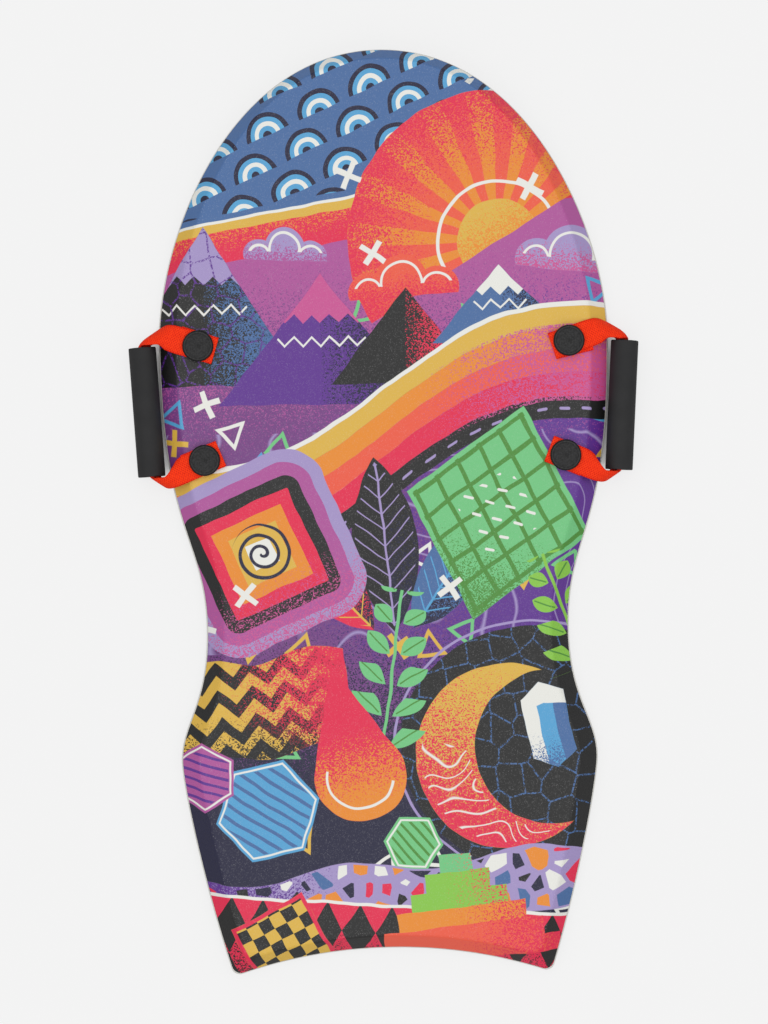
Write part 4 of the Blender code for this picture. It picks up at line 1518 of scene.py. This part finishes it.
    def stations(self):
        """From the cut end under the cap to the grip."""
        made = []
        for k in range(TAB_STEPS):
            run = TAIL_END_REACH + (FOLD_CENTRE - TAIL_END_REACH) * k / TAB_STEPS
            made.append(self.flat(run, -LAYER_STEP, -math.pi / 2))
        for k in range(FOLD_STEPS + 1):
            angle = math.pi * (1.5 - k / FOLD_STEPS)
            run = FOLD_CENTRE + LAYER_STEP / 2 * math.cos(angle)
            made.append(self.flat(run, LAYER_STEP / 2 * (math.sin(angle) - 1), angle))
        for k in range(1, TAB_STEPS):
            made.append(self.flat(FOLD_CENTRE * (1 - k / TAB_STEPS), 0.0, math.pi / 2))
        made += [self.station(self.length * k / LEG_STEPS) for k in range(LEG_STEPS + 1)]
        return made


def web_loop(station):
    """A closed loop round the webbing's section, and the step across that each point is at."""
    half = WEBBING_THICKNESS / 2
    count = len(station)
    first, first_face = station[0]
    last, last_face = station[-1]
    first_out = (first - station[1][0]).normalized() * half
    last_out = (last - station[-2][0]).normalized() * half
    loop = [(place + face * half, k) for k, (place, face) in enumerate(station)]
    loop += [(last + last_face * (half * c) + last_out * s, count - 1) for c, s in SELVEDGE]
    loop += [(station[k][0] - station[k][1] * half, k) for k in reversed(range(count))]
    loop += [(first - first_face * (half * c) + first_out * s, 0) for c, s in SELVEDGE]
    return loop


def web_stations(front, rear):
    """From one cut end to the other, with a straight run through the grip."""
    front, rear = front.stations(), rear.stations()
    through = []
    for k in range(1, GRIP_RUN_STEPS):
        share = k / GRIP_RUN_STEPS
        station = []
        for (place, face), (far_place, far_face) in zip(front[-1], rear[-1]):
            between = place.lerp(far_place, share), face.lerp(far_face, share).normalized()
            station.append(between)
        through.append(station)
    return front + through + rear[::-1]


def map_webbing(shape, rows, loops, stations):
    """Lays the weave's coordinates on the webbing, in metres along and across it."""
    middle = WEB_ACROSS_STEPS // 2
    along = 0.0
    spot = {}
    for k, (row, loop) in enumerate(zip(rows, loops)):
        if k:
            along += (stations[k][middle][0] - stations[k - 1][middle][0]).length
        for vertex, (_, step) in zip(row, loop):
            spot[vertex] = (along, WEBBING_WIDTH * (step / WEB_ACROSS_STEPS - 0.5))
    layer = shape.loops.layers.uv.new(WEB_MAP)
    for face in shape.faces:
        for corner in face.loops:
            corner[layer].uv = spot[corner.vert]


def make_webbing(side, side_name, drapes, finish):
    """One length of webbing."""
    stations = web_stations(Leg(FRONT_CAP, 1, drapes[0]), Leg(REAR_CAP, -1, drapes[1]))
    shape = bmesh.new()
    loops = [web_loop(station) for station in stations]
    placed = [[mirrored(point, side) for point, _ in loop] for loop in loops]
    rows = join_loops(shape, placed, plain_cap, plain_cap)
    map_webbing(shape, rows, loops, stations)
    piece = to_object(f"{side_name}_webbing", shape, finish, SHARP_ANGLE)
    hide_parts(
        f"{side_name}_strap", f"{side_name}_front_strap_end", f"{side_name}_rear_strap_end"
    )
    outward = mirrored(HINGE_OUTWARD, side)
    hinge = mirrored(HINGE_POINT, side)
    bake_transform(piece)


def make_handles():
    finish = woven_webbing()
    for (side_name, side), drapes in zip(SIDES, (LEFT_DRAPES, RIGHT_DRAPES)):
        make_webbing(side, side_name, drapes, finish)
    make_grips()


# Floor, light and camera
PHOTO_WIDTH = 768
PHOTO_HEIGHT = 1024
PHOTO_SCALE = 0.001
PHOTO_AXIS_X = 386.02
PHOTO_TURN = 0.0155
CAMERA_HEIGHT = 4.0
OUTLINE_LEVEL = 0.0107
SENSOR = 36.0
FLOOR_Z = -0.0002
FLOOR_HALF = 30.0
FLOOR_COLOUR = colour(200, 200, 200)
PAPER_COLOUR = colour(255, 255, 255)
PAPER_SHARE = 0.76
BACKDROP_LEVEL = 0.905
GAP_REACH = 0.014
OPEN_SHARES = 0.075, 0.575
HORIZON_LIGHT = 0.35
OVERHEAD_LIGHT = 0.975


def make_camera():
    """Straight above the sled, turned as the sled lies in the photograph."""
    data = bpy.data.cameras.new("camera")
    data.sensor_width = SENSOR
    data.lens = SENSOR * (CAMERA_HEIGHT - OUTLINE_LEVEL) / (PHOTO_HEIGHT * PHOTO_SCALE)
    data.clip_end = 100
    camera = add_object("camera", data)
    aside = (PHOTO_WIDTH / 2 - PHOTO_AXIS_X) * PHOTO_SCALE
    up = Vector((PHOTO_TURN, 1, 0)).normalized()
    right = Vector((up.y, -up.x, 0))
    camera.location = right * aside + UP * CAMERA_HEIGHT
    camera.rotation_euler = Matrix((right, up, UP)).transposed().to_euler()
    bpy.context.scene.camera = camera


def seen_by_camera(tree):
    return Num(tree, add_node(tree, "LightPath").outputs["Is Camera Ray"])


def floor_paper():
    """Pale paper that the camera sees nearly white, but for shadows and narrow gaps."""
    made, tree, shader = material("floor", roughness=0.9, specular=0.0)
    shader.inputs["Base Color"].default_value = FLOOR_COLOUR
    paper = add_node(tree, "Emission", Color=PAPER_COLOUR)
    openness = add_node(tree, "AmbientOcclusion", Distance=GAP_REACH)
    wide_open = Num(tree, openness.outputs["AO"]).spread(*OPEN_SHARES)
    seen = seen_by_camera(tree) * (wide_open * PAPER_SHARE)
    mixed = add_node(tree, "MixShader", Fac=seen)
    feed(tree, mixed.inputs[1], shader.outputs[0])
    feed(tree, mixed.inputs[2], paper.outputs[0])
    feed(tree, tree.nodes["Material Output"].inputs["Surface"], mixed.outputs[0])
    return made


def make_floor():
    mesh = bpy.data.meshes.new("floor")
    sides = ((-1, -1), (1, -1), (1, 1), (-1, 1))
    corners = [(x * FLOOR_HALF, y * FLOOR_HALF, FLOOR_Z) for x, y in sides]
    mesh.from_pydata(corners, [], [(0, 1, 2, 3)])
    mesh.materials.append(floor_paper())
    floor = add_object("floor", mesh)


def make_lights():
    """A soft dome, brightest straight above and dim at the horizon, seen as pale as the floor."""
    world = bpy.data.worlds.new("dome")
    bpy.context.scene.world = world
    world.use_nodes = True
    tree = world.node_tree
    height = parts(tree, own_place(tree, "Generated"))[2]
    light = height.spread(0.0, 1.0) * OVERHEAD_LIGHT + HORIZON_LIGHT
    strength = light + seen_by_camera(tree) * (-light + BACKDROP_LEVEL)
    background = tree.nodes["Background"]
    background.inputs["Color"].default_value = (1, 1, 1, 1)
    feed(tree, background.inputs["Strength"], strength)


bpy.context.scene.view_settings.view_transform = "Standard"
make_camera()
make_floor()
make_lights()
make_board()
make_fasteners()
make_handles()
